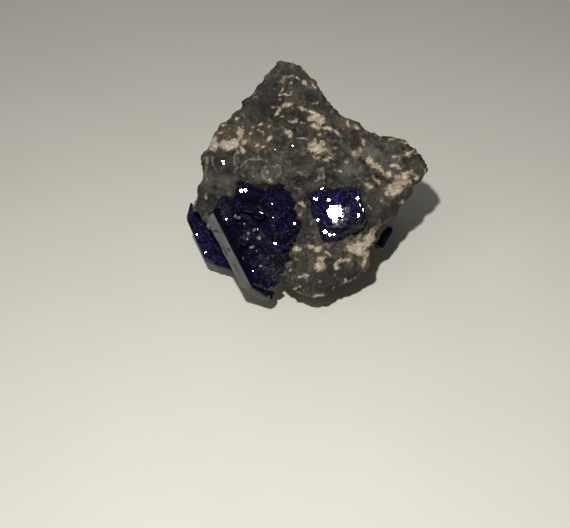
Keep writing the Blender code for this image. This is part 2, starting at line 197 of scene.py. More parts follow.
# Sizes of the rock's marks and lumps, from coarse to fine, and how far the marks' edges wander.
STAIN_SIZE, CLOUD_SIZE, PIT_SIZE, KNOB_SIZE = 4.0, 2.3, 1.5, 1.15
WANDER_SIZE, SPOT_SIZE, GRAIN_SIZE, FINE_SIZE = 0.8, 0.75, 0.42, 0.30
WANDER = 0.22
# How far from its line a vein or crack has ended, and where it is full.
VEIN_EDGES = (0.16, 0.06)
CRACK_EDGES = (0.17, 0.05)
VEIN_HEIGHT = 0.06
PIT_DEPTH = 0.22
CRUST_BED = 0.08
BASE_SLACK = 0.12
ROCK_MASKS = ("crust", "pink", "slab", "shade", "ochre", "vein", "halo", "recess")

# ================================================================ the azurite's shape
# Azurite is monoclinic. Its unit cell gives the angle between any two crystal faces.
CELL_A, CELL_B, CELL_C = 5.011, 5.850, 10.345
CELL_BETA = math.radians(92.4)
TABLET = (
    ((0, 0, 1), 0.62), ((1, 0, 1), 0.9), ((-1, 0, 1), 0.9), ((0, 1, 1), 0.87), ((1, 1, 1), 1.1),
    ((-1, 1, 1), 1.1), ((1, 1, 0), 1.18), ((0, 1, 3), 0.8),
)
PLATE = (
    ((0, 0, 1), 0.3), ((1, 0, 1), 0.9), ((-1, 0, 1), 0.88), ((0, 1, 1), 0.9), ((1, 1, 1), 1.16),
    ((-1, 1, 1), 1.2),
)
BLADE = (
    ((0, 0, 1), 0.075), ((1, 0, 0), 0.46), ((1, 0, 1), 0.47), ((1, 1, 0), 0.74), ((0, 1, 1), 0.86),
    ((-1, 1, 1), 0.7),
)
LATH = (((0, 0, 1), 0.08), ((1, 0, 0), 0.38), ((1, 0, 1), 0.39), ((1, 1, 0), 0.66), ((-1, 1, 1), 0.64))
# Low layer of growth on a tablet's flat side.
LAYER = (
    ((0, 0, 1), 0.62), ((1, 0, 1), 0.95), ((-1, 0, 1), 0.95), ((0, 1, 1), 0.92), ((1, 1, 1), 1.02),
    ((-1, 1, 1), 1.04),
)
# A crystal has at least this many faces and corners; a loose bit with fewer is a sliver.
FEWEST_FACES = 5
FEWEST_CORNERS = 8
# Faces that meet more gently than FLAT_EDGE, a cosine, keep their edge. Corners wear deeper.
FLAT_EDGE = 0.96
CORNER_WEAR = 1.8
LAYER_WEAR = 0.03
# Small crystals: the share of the size that is worn off and how deep each sits, in its own
# sizes; how far a druse crystal swings, and how strongly small ones outnumber large ones.
SMALL_WEAR, DRUSE_SINK = 0.03, 0.25
GLINT_WEAR, GLINT_SINK = 0.08, 0.42
DRUSE_SWING = 0.35
MOSTLY_SMALL = 2.5
# How much the larger crystal's face and the display face each turn a druse crystal's flat side.
DRUSE_OUT, DRUSE_UP = 0.6, 0.5
# Each crystal: habit, size, middle, direction of its flat side, direction of its b axis,
# and where it is broken off: (outward normal, point) of each break.
TABLET_CRYSTALS = (
    (TABLET, 3.0, (3.3, -3.1, 1.3), (-0.0872, 0.0902, 0.9921), (0.98, 0.17, 0.0), ()),
    (TABLET, 1.7, (1.3, -1.8, 1.75), (-0.16, 0.14, 0.97), (0.98, 0.17, 0.0), ()),
    (TABLET, 1.7, (2.2, -4.8, 1.55), (-0.12, -0.04, 0.99), (0.98, 0.17, 0.0), ()),
    (PLATE, 1.4, (4.4, -1.6, 1.8), (0.1, 0.3, 0.95), (0.98, -0.15, 0.0), ()),
    (PLATE, 1.2, (2.2, -1.6, 1.8), (-0.2, 0.2, 0.95), (0.95, 0.3, 0.0), ()),
    (PLATE, 1.2, (2.2, -5.0, 1.7), (-0.15, -0.15, 0.97), (0.95, -0.2, 0.0), ()),
)
BLADE_BREAKS = (((0.93, -0.35, 0.0), (-5.7, -12.2, 0.0)), ((-0.38, 0.92, 0.0), (-11.3, -1.5, 2.0)))
BIG_BLADE = (BLADE, 7.7, (-8.55, -5.75, -0.4), (0.785, 0.248, 0.57), (0.31, -0.934, -0.17), BLADE_BREAKS)
# Crystals that end inside the big blade, short of its far side.
IN_BLADE = (((-0.785, -0.248, -0.57), (-8.88, -5.85, -0.64)),)
ROSETTE_CRYSTALS = (
    BIG_BLADE, (TABLET, 3.5, (-6.2, -3.4, -0.5), (0.25, 0.25, 0.94), (0.8, 0.6, 0.0), IN_BLADE),
    (TABLET, 2.8, (-6.0, -7.5, 0.0), (0.2, -0.1, 0.99), (0.5, 0.8, 0.0), IN_BLADE),
    (PLATE, 1.8, (-7.4, -0.7, 2.2), (-0.05, 0.3, 0.95), (0.95, -0.31, 0.0), ()),
    (PLATE, 1.9, (-4.4, -1.5, 2.3), (0.3, 0.3, 0.9), (0.72, 0.69, 0.0), ()),
    (PLATE, 2.2, (-4.1, -4.6, 2.2), (0.45, 0.0, 0.89), (0.8, 0.6, 0.0), ()),
    (PLATE, 2.0, (-5.3, -7.4, 1.6), (0.45, -0.15, 0.88), (0.95, -0.3, 0.0), ()),
    (PLATE, 1.7, (-6.3, -9.9, 0.6), (0.55, -0.15, 0.82), (0.9, -0.4, 0.0), ()),
    (TABLET, 1.7, (-10.1, -1.8, 1.0), (-0.35, 0.25, 0.9), (0.8, -0.5, 0.0), ()),
    (TABLET, 1.5, (-8.4, -4.6, 1.3), (-0.2, 0.25, 0.95), (0.6, -0.7, 0.0), ()),
    (TABLET, 1.2, (-7.2, -7.4, 1.0), (0.25, -0.1, 0.95), (0.9, 0.3, 0.0), ()),
    (TABLET, 0.9, (-6.2, -2.4, 2.4), (0.2, 0.3, 0.93), (0.5, 0.8, 0.0), ()),
)
SIDE_BLADE_BREAKS = (((0.69, 0.72, 0.0), (-14.7, -0.3, -3.4)), ((-0.4, -0.92, 0.0), (-12.5, -8.2, -7.3)))
SIDE_BLADE_CRYSTALS = (
    (PLATE, 1.3, (-11.9, -7.1, -5.3), (-0.2, -0.3, 0.93), (0.5, -0.8, 0.0), ()),
    (TABLET, 0.7, (-12.9, -7.2, -5.1), (-0.1, -0.2, 0.97), (0.8, -0.5, 0.0), ()),
    (LATH, 5.7, (-12.6, -4.4, -5.0), (-0.22, -0.15, 0.96), (0.33, -0.94, -0.07), SIDE_BLADE_BREAKS),
)
UNDERSIDE_CRYSTALS = ((PLATE, 1.6, (8.0, -5.9, -2.7), (0.35, -0.3, 0.89), (0.5, 0.8, 0.0), ()),)

# Layers of growth on the big tablet: u and v shift, size, height above its flat side, and how
# far the layer leans to u and to v, in degrees.
TABLET_LAYERS = (
    (0.2, -0.25, 2.45, 0.05, 0.0, 0.0), (-0.55, 0.15, 1.35, 0.1, 0.0, 0.0),
    (-0.15, -0.3, 1.1, 0.13, 0.0, 0.0), (0.75, 1.15, 0.8, 0.17, 3.0, 2.0),
    (-0.6, 1.45, 1.0, 0.15, -4.0, 3.0), (1.55, -0.3, 1.0, 0.12, 4.0, -1.0),
    (1.6, 1.35, 0.85, 0.19, 2.0, 4.0), (-1.75, 0.7, 0.75, 0.13, -5.0, 1.0),
    (0.3, -1.75, 1.0, 0.09, 0.5, -4.0), (-1.45, -1.3, 0.7, 0.1, -4.0, -3.0),
)
TABLET_TOP_EDGE = (
    (-0.1, -1.1), (1.3, 0.1), (3.4, 0.1), (5.3, -0.4), (6.0, -1.9), (5.0, -2.3), (1.6, -1.7), (0.4, -2.2),
)
TABLET_OUTLINE = ((-0.1, -1.1), (1.3, 0.1), (5.3, -0.4), (6.4, -4.4), (5.0, -5.8), (0.9, -5.9))
# The film on the big blade: how deep it reaches, how far it stands proud, and its rough skin.
COATING_DEPTH, COATING_PROUD = 0.25, 0.05
COATING_MESH, COATING_ROUGH, COATING_LUMPS = 0.085, 0.035, 0.5
CHIP_WANDER = 0.12
# Dolomite grains: turn from one to the next, height, and how rough and how lumpy, in grain sizes.
GRAIN_TURN, DOLOMITE_HEIGHT, DOLOMITE_ROUGH, DOLOMITE_LUMPS = 1.3, 0.8, 0.45, 0.7
# Calcite's cleavage leans a cube over to a rhomb. Each is turned on from the last.
RHOMB = Matrix(((1, 0.25, 0, 0), (0, 1, 0.2, 0), (0, 0, 1, 0), (0, 0, 0, 1)))
CUBE_SHARE, CALCITE_TURN = 0.85, 0.9

# ---------------------------------------------------------------- camera, light, small crystals
CAMERA_PLACE = (-2.1, -87.5, 87.41)
CAMERA_RIGHT = (0.99676, -0.05220, -0.06119)
CAMERA_BACK = (0.00847, -0.68838, 0.72530)
KEY_PLACE = (-10.4, -62.9, 105.3)
KEY_RADIUS = 1.85
SOFT_LIGHTS = (("soft_box", (-90.0, -60.0, 160.0)), ("back_box", (-70.0, 150.0, 110.0)))
SOFT_WIDTH = 120.0
LIGHT_AIM = (0, 0, 10)
STUDIO_STRENGTH = 0.10
FLOOR_WIDTH = 3000
SENSOR_WIDTH = 36.0
CLIP_START = 5
# Small crystals and grains are placed by where the camera sees this level of the face.
FACE_LEVEL = 2.5
# Glints: crystals whose flat side sends the key light to the camera: u, v, size.
ROSETTE_GLINTS = (
    (-8.2, 0.3, 0.27), (-7.68, 0.3, 0.27), (-4.6, -1.5, 0.2), (-4.6, -3.2, 0.18), (-3.4, -2.8, 0.16),
    (-2.2, -4.1, 0.26), (-5.8, -6.1, 0.15), (-4.7, -6.2, 0.17), (-7.5, -9.3, 0.14), (-10.7, -2.1, 0.13),
    (-10.2, -2.9, 0.11),
)
TABLET_GLINTS = (
    (1.4, -0.3, 0.26), (0.3, -1.2, 0.24), (0.6, -1.4, 0.17), (2.0, -1.6, 0.22), (5.4, -1.7, 0.24),
    (5.6, -2.5, 0.16), (5.9, -3.1, 0.17), (5.3, -3.7, 0.22), (0.6, -3.9, 0.2), (1.3, -5.3, 0.33),
    (1.8, -5.7, 0.2), (2.3, -5.7, 0.17),
)
SIDE_GLINTS = ((-13.8, -4.4, 0.12), (-13.6, -6.4, 0.11))
# Where the rosette's druse of small crystals grows, and the places that it leaves bare.
ROSETTE_OUTLINE = (
    (-8.2, 1.4), (-5.7, 0.4), (-3.9, 0.8), (-2.4, -0.5), (-1.9, -1.8), (-2.4, -2.5), (-1.7, -4.6),
    (-3.1, -6.7), (-4.0, -8.9), (-4.7, -11.0), (-5.6, -12.6), (-6.7, -11.2), (-8.1, -8.7), (-9.2, -6.4),
    (-10.2, -3.4), (-11.2, -1.9), (-10.7, 0.1), (-9.2, -0.7),
)
ROSETTE_BARE = (
    (-7.0, -2.0, 1.2, 1.9, 0, 0), (-8.0, -10.2, 0.75, 2.6, 27, 0), (-7.9, 0.3, 0.75, 0.4, 0, 0),
)
# Places of painted shade: the rosette's hollow, where shade falls, and the tablet's lower right side,
# which mirrors the shadow beside it. The crystals there get no painted inner light and stay near black.
PAINTED_SHADE_PLACES = ((-6.8, -1.6, 1.7, 2.3, 0, 0), (4.9, -5.0, 2.4, 0.95, 21, 0))
# A druse: outline, how many, smallest and largest size, tilt, seed, and what it leaves bare.
TABLET_DRUSE = (
    (TABLET_TOP_EDGE, 24, (0.22, 0.50), 0.10, 11),
    (TABLET_OUTLINE, 14, (0.16, 0.34), 0.08, 12),
)
ROSETTE_DRUSE = (ROSETTE_OUTLINE, 330, (0.15, 0.55), 0.24, 31, ROSETTE_BARE)
# Small crystals that stand out round the rosette's rim: u, v, w, size.
ROSETTE_TEETH = (
    (-8.2, 0.9, 1.7, 0.5), (-7.4, 0.8, 1.7, 0.45), (-6.1, 0.2, 1.7, 0.4), (-4.3, 0.3, 1.7, 0.55),
    (-3.6, 0.1, 1.7, 0.5), (-2.9, -0.6, 1.7, 0.55), (-2.4, -1.7, 1.7, 0.5), (-2.3, -2.8, 1.7, 0.45),
    (-1.9, -4.0, 1.7, 0.5), (-2.6, -5.6, 1.7, 0.45), (-3.2, -6.5, 1.7, 0.5), (-3.6, -7.9, 1.6, 0.5),
    (-4.3, -9.0, 1.6, 0.45), (-5.2, -10.9, 0.35, 0.5),
)
# Facets painted with azurite's clear blue, light that comes back from inside: u, v, radius.
INNER_LIGHT_SPOTS = ((-4.2, -0.6, 0.45), (-3.3, -4.7, 0.5), (-4.9, -7.2, 1.0), (-4.0, -6.8, 0.9), (-5.9, -2.9, 0.4))
# Painted inner light of a facet, its inner blue: how strongly dark ones outnumber blue ones; what a
# vivid place adds, to how many of them, and the most it comes to; how fast a place of painted shade
# darkens, and to what.
MOSTLY_DARK = 2.2
VIVID_GAIN, VIVID_SHARE, MOST_TONE = 1.5, 0.55, 2.2
PAINTED_SHADE_GAIN, PAINTED_SHADE_TONE = 2.4, -0.10
DUST_GAIN, DUST_SHARE = 1.4, (0.3, 0.8)
# Where grey dust lies on the crystals, and the dark chips and streaks in the blade's film.
DUSTY = ((-10.5, -2.1, 1.2, 1.9, 20, 0), (-5.4, -9.2, 1.6, 2.8, 25, 0), (-7.6, -5.2, 1.3, 1.6, 0, 0))
FILM_CHIPS = (
    (-11.4, -5.7, 0.9, 0.17, -62, 0), (-11.5, -4.2, 0.34, 0.16, -30, 0),
    (-10.2, -6.5, 0.24, 0.17, -60, 0), (-9.6, -8.6, 0.7, 0.08, -58, 0), (-10.7, -6.6, 0.8, 0.07, -60, 0),
)
# Grains of pinkish dolomite caught in the druse: u, v, size, and how far each is stretched.
DOLOMITE = (
    (-8.8, -2.8, 0.24, 1.5), (-9.1, -2.6, 0.16, 1.2), (-7.7, -4.8, 0.18, 1.1), (-7.0, -4.4, 0.19, 1.2),
    (-6.5, -5.4, 0.25, 1.1), (-7.4, -6.4, 0.22, 1.4), (-8.1, -3.6, 0.12, 1.0), (-6.6, -8.7, 0.15, 1.0),
    (-5.7, -7.8, 0.13, 1.0), (-7.9, -5.4, 0.12, 1.2), (-6.9, -6.9, 0.11, 1.0), (-8.6, -7.6, 0.12, 1.3),
)
# Glassy calcite grains: u, v, size, and how many degrees each is turned from a full sparkle.
CALCITE = (
    (-10.0, 3.9, 0.22, 0), (-9.95, 3.65, 0.14, 0), (-4.7, 8.7, 0.1, 24), (-3.8, 4.8, 0.11, 2),
    (-1.7, 5.1, 0.13, 0), (-0.9, 10.7, 0.1, 25), (0.1, 10.5, 0.12, 28), (1.2, 10.2, 0.1, 24),
    (6.0, 1.9, 0.08, 3), (8.0, 1.1, 0.09, 20), (-0.2, 1.3, 0.07, 22), (-6.4, 3.2, 0.08, 24),
    (-3.1, -8.8, 0.1, 22), (2.0, -11.2, 0.07, 3), (10.0, 3.9, 0.06, 3),
)

# ---------------------------------------------------------------- fixed colours
GAP_COLOUR = "#1c1b18"
HALO_COLOUR = "#50432f"
BLOOM_COLOUR = "#7d705c"
# Darkest rock, also the painted shade on the flank below the prong.
DARK_ROCK_AND_SHADE_COLOUR = "#1e1d1a"
PALE_COLOUR = "#67645b"
# Painted shade for cracks, pits and the low ground between knobs.
RECESS_SHADE_COLOUR = "#1a1815"
PLATE_COLOUR = "#b3b19d"
MOTTLE_COLOUR = "#8f7f68"
LUMP_COLOUR = "#d3c7ad"
THIN_CRUST_COLOUR = "#5d4c3b"
FLECK_COLOUR = "#686284"
DUST_COLOUR = "#53515c"
THICK_FILM_COLOUR = "#565453"
DOLOMITE_COLOURS = ("#5c4946", "#9e9092")
CALCITE_COLOUR = "#e4e8ea"
FLOOR_SHADE_COLOUR = "#e7e4d6"
STUDIO_COLOUR = "#d9dad8"
AZURITE_FINISH = "azurite_grown_crystal"


# ================================================================ settings
def linear(code):
    """An sRGB hex colour as linear red, green, blue and alpha."""
    shares = [int(code[i : i + 2], 16) / 255 for i in (1, 3, 5)]
    return (*(s / 12.92 if s <= 0.04045 else ((s + 0.055) / 1.055) ** 2.4 for s in shares), 1.0)


def colour(name, description, code):
    return FloatVectorProperty(
        name=name, description=description, size=4, subtype="COLOR", min=0, max=1, default=linear(code)
    )


def length(name, description, millimetres):
    return FloatProperty(
        name=name, description=description, default=millimetres * MM, min=0, unit="LENGTH", precision=6
    )


def power(name, description, watts):
    return FloatProperty(name=name, description=description, default=watts, unit="POWER")


class RockSettings(PropertyGroup):
    mesh_spacing: length("Mesh spacing", "Distance between the rock's mesh points", 0.175)
    knob_height: length("Knob height", "Height of the knobs about a millimetre across", 0.24)
    grain_height: length("Grain height", "Height of the single grains", 0.06)
    crust_height: length("Crust height", "Thickness of the chalky crust", 0.09)
    slab_height: length("Slab height", "How far the shoulder's plate of crust stands proud", 0.30)
    crack_depth: length("Crack depth", "Depth of the open cracks", 0.50)
    dark: colour("Dark rock", "Fine-grained dark parts of the rock", "#22211d")
    grey: colour("Grey rock", "Paler parts of the rock", "#444136")
    speck: colour("Specks", "Pale mineral specks in the rock", "#726d61")
    ochre: colour("Ochre stain", "Iron stain along the broken edges", "#4f4130")
    vein: colour("Veins", "Fine pale veins", "#928d79")
    cream: colour("Cream crust", "Chalky crust", "#bbae95")
    pink: colour("Pink crust", "Pinkish parts of the crust", "#a38d7c")


class AzuriteSettings(PropertyGroup):
    facet_wave: length("Facet waves", "Height of the shallow waves on a crystal face", 0.0016)
    night: colour("Deep blue", "Azurite where it is thick", "#0d0b18")
    # The violet blue and the clear blue are light from inside the crystal, painted on its faces.
    inner_light_violet: colour("Violet blue", "Azurite where light comes back from inside", "#2b2662")
    inner_light_blue: colour("Clear blue", "The clearest facets", "#1811b8")
    coating: colour("Coating", "Grey carbonate film on the blade's narrow side", "#6e6b68")
    coating_streak: colour("Coating streaks", "Dark streaks in the film", "#2b2a30")


class StageSettings(PropertyGroup):
    floor: colour("Floor", "Matt painted floor", "#eeebdd")
    lens: FloatProperty(name="Lens", description="Camera focal length in mm", default=58.33, min=1)
    key_power: power("Key light", "Power of the key light", 0.40)
    fill_power: power("Fill light", "Power of each soft light", 0.024)


# ================================================================ meshes
def as_array(points):
    return np.array([tuple(p) for p in points])


def to_face_frame(world):
    """World points in millimetres to the face frame."""
    inverse = np.array(FACE_TO_WORLD.inverted())
    return world @ inverse[:3, :3].T + inverse[:3, 3]


def fractal_at(points, size, octaves=2, shift=0.0):
    """Smooth noise of that feature size at each point. Another shift gives another noise."""
    scaled = (points / size + shift).tolist()
    return np.array([noise.fractal(p, 1.0, 2.0, octaves) for p in scaled])


def grains_at(points, size):
    """Distance to the nearest of many scattered grain centres, in grain sizes."""
    return np.array([noise.voronoi(p)[0][0] for p in (points / size).tolist()])


def smooth_step(low, high, values):
    share = np.clip((values - low) / (high - low), 0.0, 1.0)
    return share * share * (3 - 2 * share)


def patch_field(u, v, patches):
    """1 in the middle of a patch, 0 on its rim and less outside, and how pink the nearest is."""
    best = np.full(u.shape, -9.0)
    pink = np.zeros(u.shape)
    for middle_u, middle_v, half_length, half_width, angle, pinkness in patches:
        turn = math.radians(angle)
        du = u - middle_u
        dv = v - middle_v
        along = (du * math.cos(turn) + dv * math.sin(turn)) / half_length
        across = (dv * math.cos(turn) - du * math.sin(turn)) / half_width
        field = 1 - np.hypot(along, across)
        pink = np.where(field > best, pinkness, pink)
        best = np.maximum(best, field)
    return best, pink


def patch_at(u, v, patches):
    """The same field at one place."""
    return patch_field(np.array([u]), np.array([v]), patches)[0][0]


def line_distance(u, v, lines):
    """Distance across the face to the nearest of the lines."""
    best = np.full(u.shape, 9.0)
    for line in lines:
        for (start_u, start_v), (end_u, end_v) in zip(line, line[1:]):
            side = np.array((end_u - start_u, end_v - start_v))
            share = ((u - start_u) * side[0] + (v - start_v) * side[1]) / side.dot(side)
            share = np.clip(share, 0, 1)
            gap = np.hypot(u - start_u - share * side[0], v - start_v - share * side[1])
            best = np.minimum(best, gap)
    return best


def inside(u, v, outline):
    """True where (u, v) is inside the outline."""
    within = False
    for (au, av), (bu, bv) in zip(outline, outline[1:] + outline[:1]):
        if (av > v) != (bv > v) and u < (bu - au) * (v - av) / (bv - av) + au:
            within = not within
    return within


def new_piece(name, mesh, material, replaced=()):
    """Shows a mesh as one piece that rides on the specimen."""
    piece = bpy.data.objects.new(name, mesh)
    bpy.context.scene.collection.objects.link(piece)
    mesh.materials.clear()
    mesh.materials.append(material)
    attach(piece, "root")
    if replaced:
        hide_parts(*replaced)
    return piece


def evaluated_mesh(obj):
    """The object's mesh with its modifiers applied. The object itself is removed."""
    graph = bpy.context.evaluated_depsgraph_get()
    mesh = bpy.data.meshes.new_from_object(obj.evaluated_get(graph))
    bpy.data.objects.remove(obj)
    return mesh


def even_mesh(name, mesh, spacing):
    """The body's surface drawn again as an even mesh."""
    obj = bpy.data.objects.new(name, mesh)
    bpy.context.scene.collection.objects.link(obj)
    even = obj.modifiers.new("even_mesh", "REMESH")
    even.mode = "VOXEL"
    even.voxel_size = spacing
    return evaluated_mesh(obj)


def points_and_normals(mesh):
    """The mesh's points, and the way out of it at each."""
    places = np.empty(len(mesh.vertices) * 3)
    outward = np.empty(len(mesh.vertices) * 3)
    mesh.vertices.foreach_get("co", places)
    mesh.vertex_normals.foreach_get("vector", outward)
    return places.reshape(-1, 3), outward.reshape(-1, 3)


def move_points(mesh, places):
    """Puts the mesh's points in new places and shades it smooth."""
    mesh.vertices.foreach_set("co", places.ravel())
    mesh.shade_smooth()
    mesh.update()


def slice_off(bm, point, normal):
    """Cut the body by a plane, keep what is behind it and close the cut."""
    cut = bmesh.ops.bisect_plane(
        bm,
        geom=bm.verts[:] + bm.edges[:] + bm.faces[:],
        dist=TINY,
        plane_co=point,
        plane_no=normal,
        clear_outer=True,
    )
    rim = [e for e in cut["geom_cut"] if isinstance(e, bmesh.types.BMEdge)]
    if rim:
        bmesh.ops.contextual_create(bm, geom=rim)


# ---------------------------------------------------------------- rock
def facet_reach(directions, facets):
    """Distance from the heart to each facet's plane along each direction."""
    rows = []
    for normal, point in facets:
        normal = np.array(normal) / np.linalg.norm(normal)
        ahead = directions @ normal
        gap = (np.array(point) - ROCK_HEART) @ normal
        rows.append(np.where(ahead > TINY, gap / np.maximum(ahead, TINY), np.inf))
    return np.array(rows)


def soft_min(rows):
    """The least of the rows at each point, rounded where two of them meet."""
    return np.maximum((rows**-EDGE_SHARPNESS).sum(axis=0), ABOVE_ZERO) ** (-1 / EDGE_SHARPNESS)


def rim_reach(across):
    """Distance from the middle of the face to its rim along each (u, v) direction."""
    best = np.full(len(across), np.inf)
    corners = np.array(RIM)
    for start, end in zip(corners, np.roll(corners, -1, axis=0)):
        side = end - start
        turn = across[:, 0] * side[1] - across[:, 1] * side[0]
        turn = np.where(np.abs(turn) < PARALLEL, PARALLEL, turn)
        reach = (start[0] * side[1] - start[1] * side[0]) / turn
        share = (start[0] * across[:, 1] - start[1] * across[:, 0]) / turn
        hit = (reach > 0) & (share >= 0) & (share <= 1)
        best = np.where(hit & (reach < best), reach, best)
    return best


def rock_skin(directions):
    """The rock's smooth surface along unit vectors from its heart."""
    inverse = FACE_TO_WORLD.inverted()
    turn = inverse.to_3x3()
    back = [(tuple(turn @ Vector(n).normalized()), tuple(inverse @ Vector(p))) for n, p in BACK_FACETS]
    rows = list(facet_reach(directions, back))
    spread = np.maximum(np.hypot(directions[:, 0], directions[:, 1]), TINY)
    reach = rim_reach(directions[:, :2] / spread[:, None])
    taper = spread - reach * SIDE_TAPER * directions[:, 2]
    rim = reach * (1 + SIDE_TAPER * (ROCK_HEART[2] - RIM_LEVEL)) / np.maximum(taper, TINY)
    rows.append(np.where(taper > TINY, rim, np.inf))
    fronts = [soft_min(facet_reach(directions, b)) for b in (PEAK_BLOCK, PRONG_BLOCK, BODY_BLOCK)]
    rows.append(np.where(directions[:, 2] > FRONT_FROM, np.max(fronts, axis=0), np.inf))
    return ROCK_HEART + directions * soft_min(np.array(rows))[:, None]


def rock_blank(spacing):
    """The lump with its flat base and its larger knobs, as an even mesh."""
    bm = bmesh.new()
    bmesh.ops.create_icosphere(bm, subdivisions=ROCK_DETAIL, radius=1.0)
    directions = as_array(v.co.normalized() for v in bm.verts)
    surface = rock_skin(directions)
    for size, height in ROUGHNESS:
        surface += directions * (height * fractal_at(surface, size))[:, None]
    for vertex, place in zip(bm.verts, surface):
        vertex.co = FACE_TO_WORLD @ Vector(place) * MM
    slice_off(bm, (0, 0, 0), (0, 0, -1))
    bmesh.ops.recalc_face_normals(bm, faces=bm.faces)
    mesh = bpy.data.meshes.new("rock_blank")
    bm.to_mesh(mesh)
    bm.free()
    return even_mesh("rock_blank", mesh, spacing)


def rock_mesh(settings):
    """The rock with its grains, crust, veins and cracks, and a mask of each for its colours."""
    mesh = rock_blank(settings.mesh_spacing)
    places, outward = points_and_normals(mesh)
    face = to_face_frame(places / MM)
    # 1 on the display face, 0 where the rock turns away from it or lies well behind it.
    facing = outward @ np.array(FACE_TO_WORLD.to_3x3() @ Vector((0, 0, 1)))
    front = smooth_step(0.0, 0.3, facing) * smooth_step(-3.0, -1.0, face[:, 2])

    fine = fractal_at(face, FINE_SIZE)
    broad = fractal_at(face, CLOUD_SIZE, 3, 5.5)
    spots = fractal_at(face, SPOT_SIZE, 2, 4.4)
    u = face[:, 0] + WANDER * fractal_at(face, WANDER_SIZE, 2, 3.1)
    v = face[:, 1] + WANDER * fractal_at(face, WANDER_SIZE, 2, 7.7)
    # The display face has its own patches of crust, stain and shade, and elsewhere they are
    # scattered. Each step's two levels are where a mark starts and where it is full.
    field, pink = patch_field(u, v, CRUST)
    crust = front * smooth_step(-0.40, 0.50, field + 0.38 * fine)
    crust = np.maximum(crust, (1 - front) * smooth_step(0.34, 0.52, broad + 0.40 * fine))
    crust = np.maximum(crust, 0.60 * front * smooth_step(0.44, 0.64, spots + 0.35 * broad))
    halo = front * smooth_step(-1.3, 0.1, field + 0.4 * broad)
    pink = np.clip(front * pink + (1 - front) * 0.35 + 0.3 * broad, 0, 1)
    slab = front * smooth_step(0.0, 0.22, patch_field(u, v, SHOULDER_SLAB)[0])
    smooth = front * smooth_step(0.0, 0.4, patch_field(u, v, SMOOTH)[0])
    # Tone: the rock's own dark and pale parts, and painted shade on the flank below the prong.
    reach, shade = patch_field(u, v, ROCK_TONES_AND_PAINTED_SHADE)
    shade = shade * front * smooth_step(0.0, 0.5, reach + 0.3 * broad)
    ochre = front * smooth_step(0.0, 0.6, patch_field(u, v, OCHRE)[0] + 0.5 * broad)
    far_stain = smooth_step(0.0, 0.5, fractal_at(face, STAIN_SIZE, 2, 9.2))
    ochre = np.maximum(ochre, (1 - front) * far_stain)
    vein = front * smooth_step(*VEIN_EDGES, line_distance(u, v, VEINS)) * smooth_step(-0.5, 0.2, fine)
    crack = front * smooth_step(*CRACK_EDGES, line_distance(u, v, CRACKS)) * smooth_step(-0.6, 0.0, broad)

    knobs = fractal_at(face, KNOB_SIZE, 3)
    grains = 0.5 - grains_at(face, GRAIN_SIZE)
    pits = smooth_step(0.25, 0.5, fractal_at(face, PIT_SIZE, 2, 12.4)) * (1 - smooth)
    rise = settings.knob_height * knobs + settings.grain_height * grains * 2 * (1 + crust)
    rise *= 1 - 0.6 * smooth
    rise += crust * settings.crust_height - CRUST_BED * MM + slab * settings.slab_height
    rise += VEIN_HEIGHT * MM * vein - PIT_DEPTH * MM * pits - settings.crack_depth * crack
    places += outward * rise[:, None]
    places[:, 2] = np.where(places[:, 2] < BASE_SLACK * MM, 0.0, places[:, 2])
    move_points(mesh, places)
    # Painted shade in the open cracks, the pits and the low ground between knobs.
    recess = np.clip(crack + pits * 0.7 - 0.8 * knobs, 0, 1)
    for name, values in zip(ROCK_MASKS, (crust, pink, slab, shade, ochre, vein, halo, recess)):
        mesh.attributes.new(name, "FLOAT", "POINT").data.foreach_set("value", values)
    return mesh


# ---------------------------------------------------------------- azurite
def face_normals(h, k, l):
    """Outward normals of the faces of form (h k l): a along x, b along y, both in (0 0 1)."""
    normals = []
    for signs in ((1, 1, 1), (-1, 1, -1), (-1, -1, -1), (1, -1, 1)):
        i, j, m = (index * sign for index, sign in zip((h, k, l), signs))
        rise = (m / CELL_C - i * math.cos(CELL_BETA) / CELL_A) / math.sin(CELL_BETA)
        normal = Vector((i / CELL_A, j / CELL_B, rise)).normalized()
        if all((normal - other).length > SAME_FACE for other in normals):
            normals.append(normal)
    return normals


def crystal_axes(flat_side, b_axis):
    """A crystal's own x, y and z from its flat side and b axis."""
    z_axis = Vector(flat_side).normalized()
    x_axis = Vector(b_axis).cross(z_axis).normalized()
    return x_axis, z_axis.cross(x_axis), z_axis


def wear_edges(bm, depth):
    """Wears each edge and corner of a convex body back to a narrow facet."""
    bm.normal_update()
    cuts = []
    for edge in bm.edges:
        first, second = (f.normal for f in edge.link_faces)
        if first.dot(second) < FLAT_EDGE:
            normal = (first + second).normalized()
            cuts.append(((edge.verts[0].co + edge.verts[1].co) / 2 - normal * depth, normal))
    for vertex in bm.verts:
        normal = sum((f.normal for f in vertex.link_faces), Vector()).normalized()
        cuts.append((vertex.co - normal * depth * CORNER_WEAR, normal))
    for point, normal in cuts:
        slice_off(bm, point, normal)


def crystal(habit, size, middle, flat_side, b_axis, breaks, worn, grow=0.0):
    """One crystal in the face frame: a block cut back to each of its faces."""
    bm = bmesh.new()
    bmesh.ops.create_cube(bm, size=4 * size)
    for form, share in habit:
        for normal in face_normals(*form):
            slice_off(bm, normal * (share * size + grow), normal)
    turn = Matrix(crystal_axes(flat_side, b_axis)).transposed().to_4x4()
    bmesh.ops.transform(bm, matrix=Matrix.Translation(middle) @ turn, verts=bm.verts)
    for normal, point in breaks:
        normal = Vector(normal).normalized()
        slice_off(bm, Vector(point) + normal * grow, normal)
    wear_edges(bm, worn)
    return bm


def drop_slivers(mesh):
    """Removes the tiny loose bits that joining leaves where two faces nearly match."""
    bm = bmesh.new()
    bm.from_mesh(mesh)
    waiting = set(bm.verts)
    while waiting:
        bit = [waiting.pop()]
        for vertex in bit:
            near = {edge.other_vert(vertex) for edge in vertex.link_edges} & waiting
            waiting -= near
            bit += near
        if len(bit) < FEWEST_CORNERS:
            bmesh.ops.delete(bm, geom=bit, context="VERTS")
    bm.to_mesh(mesh)
    bm.free()


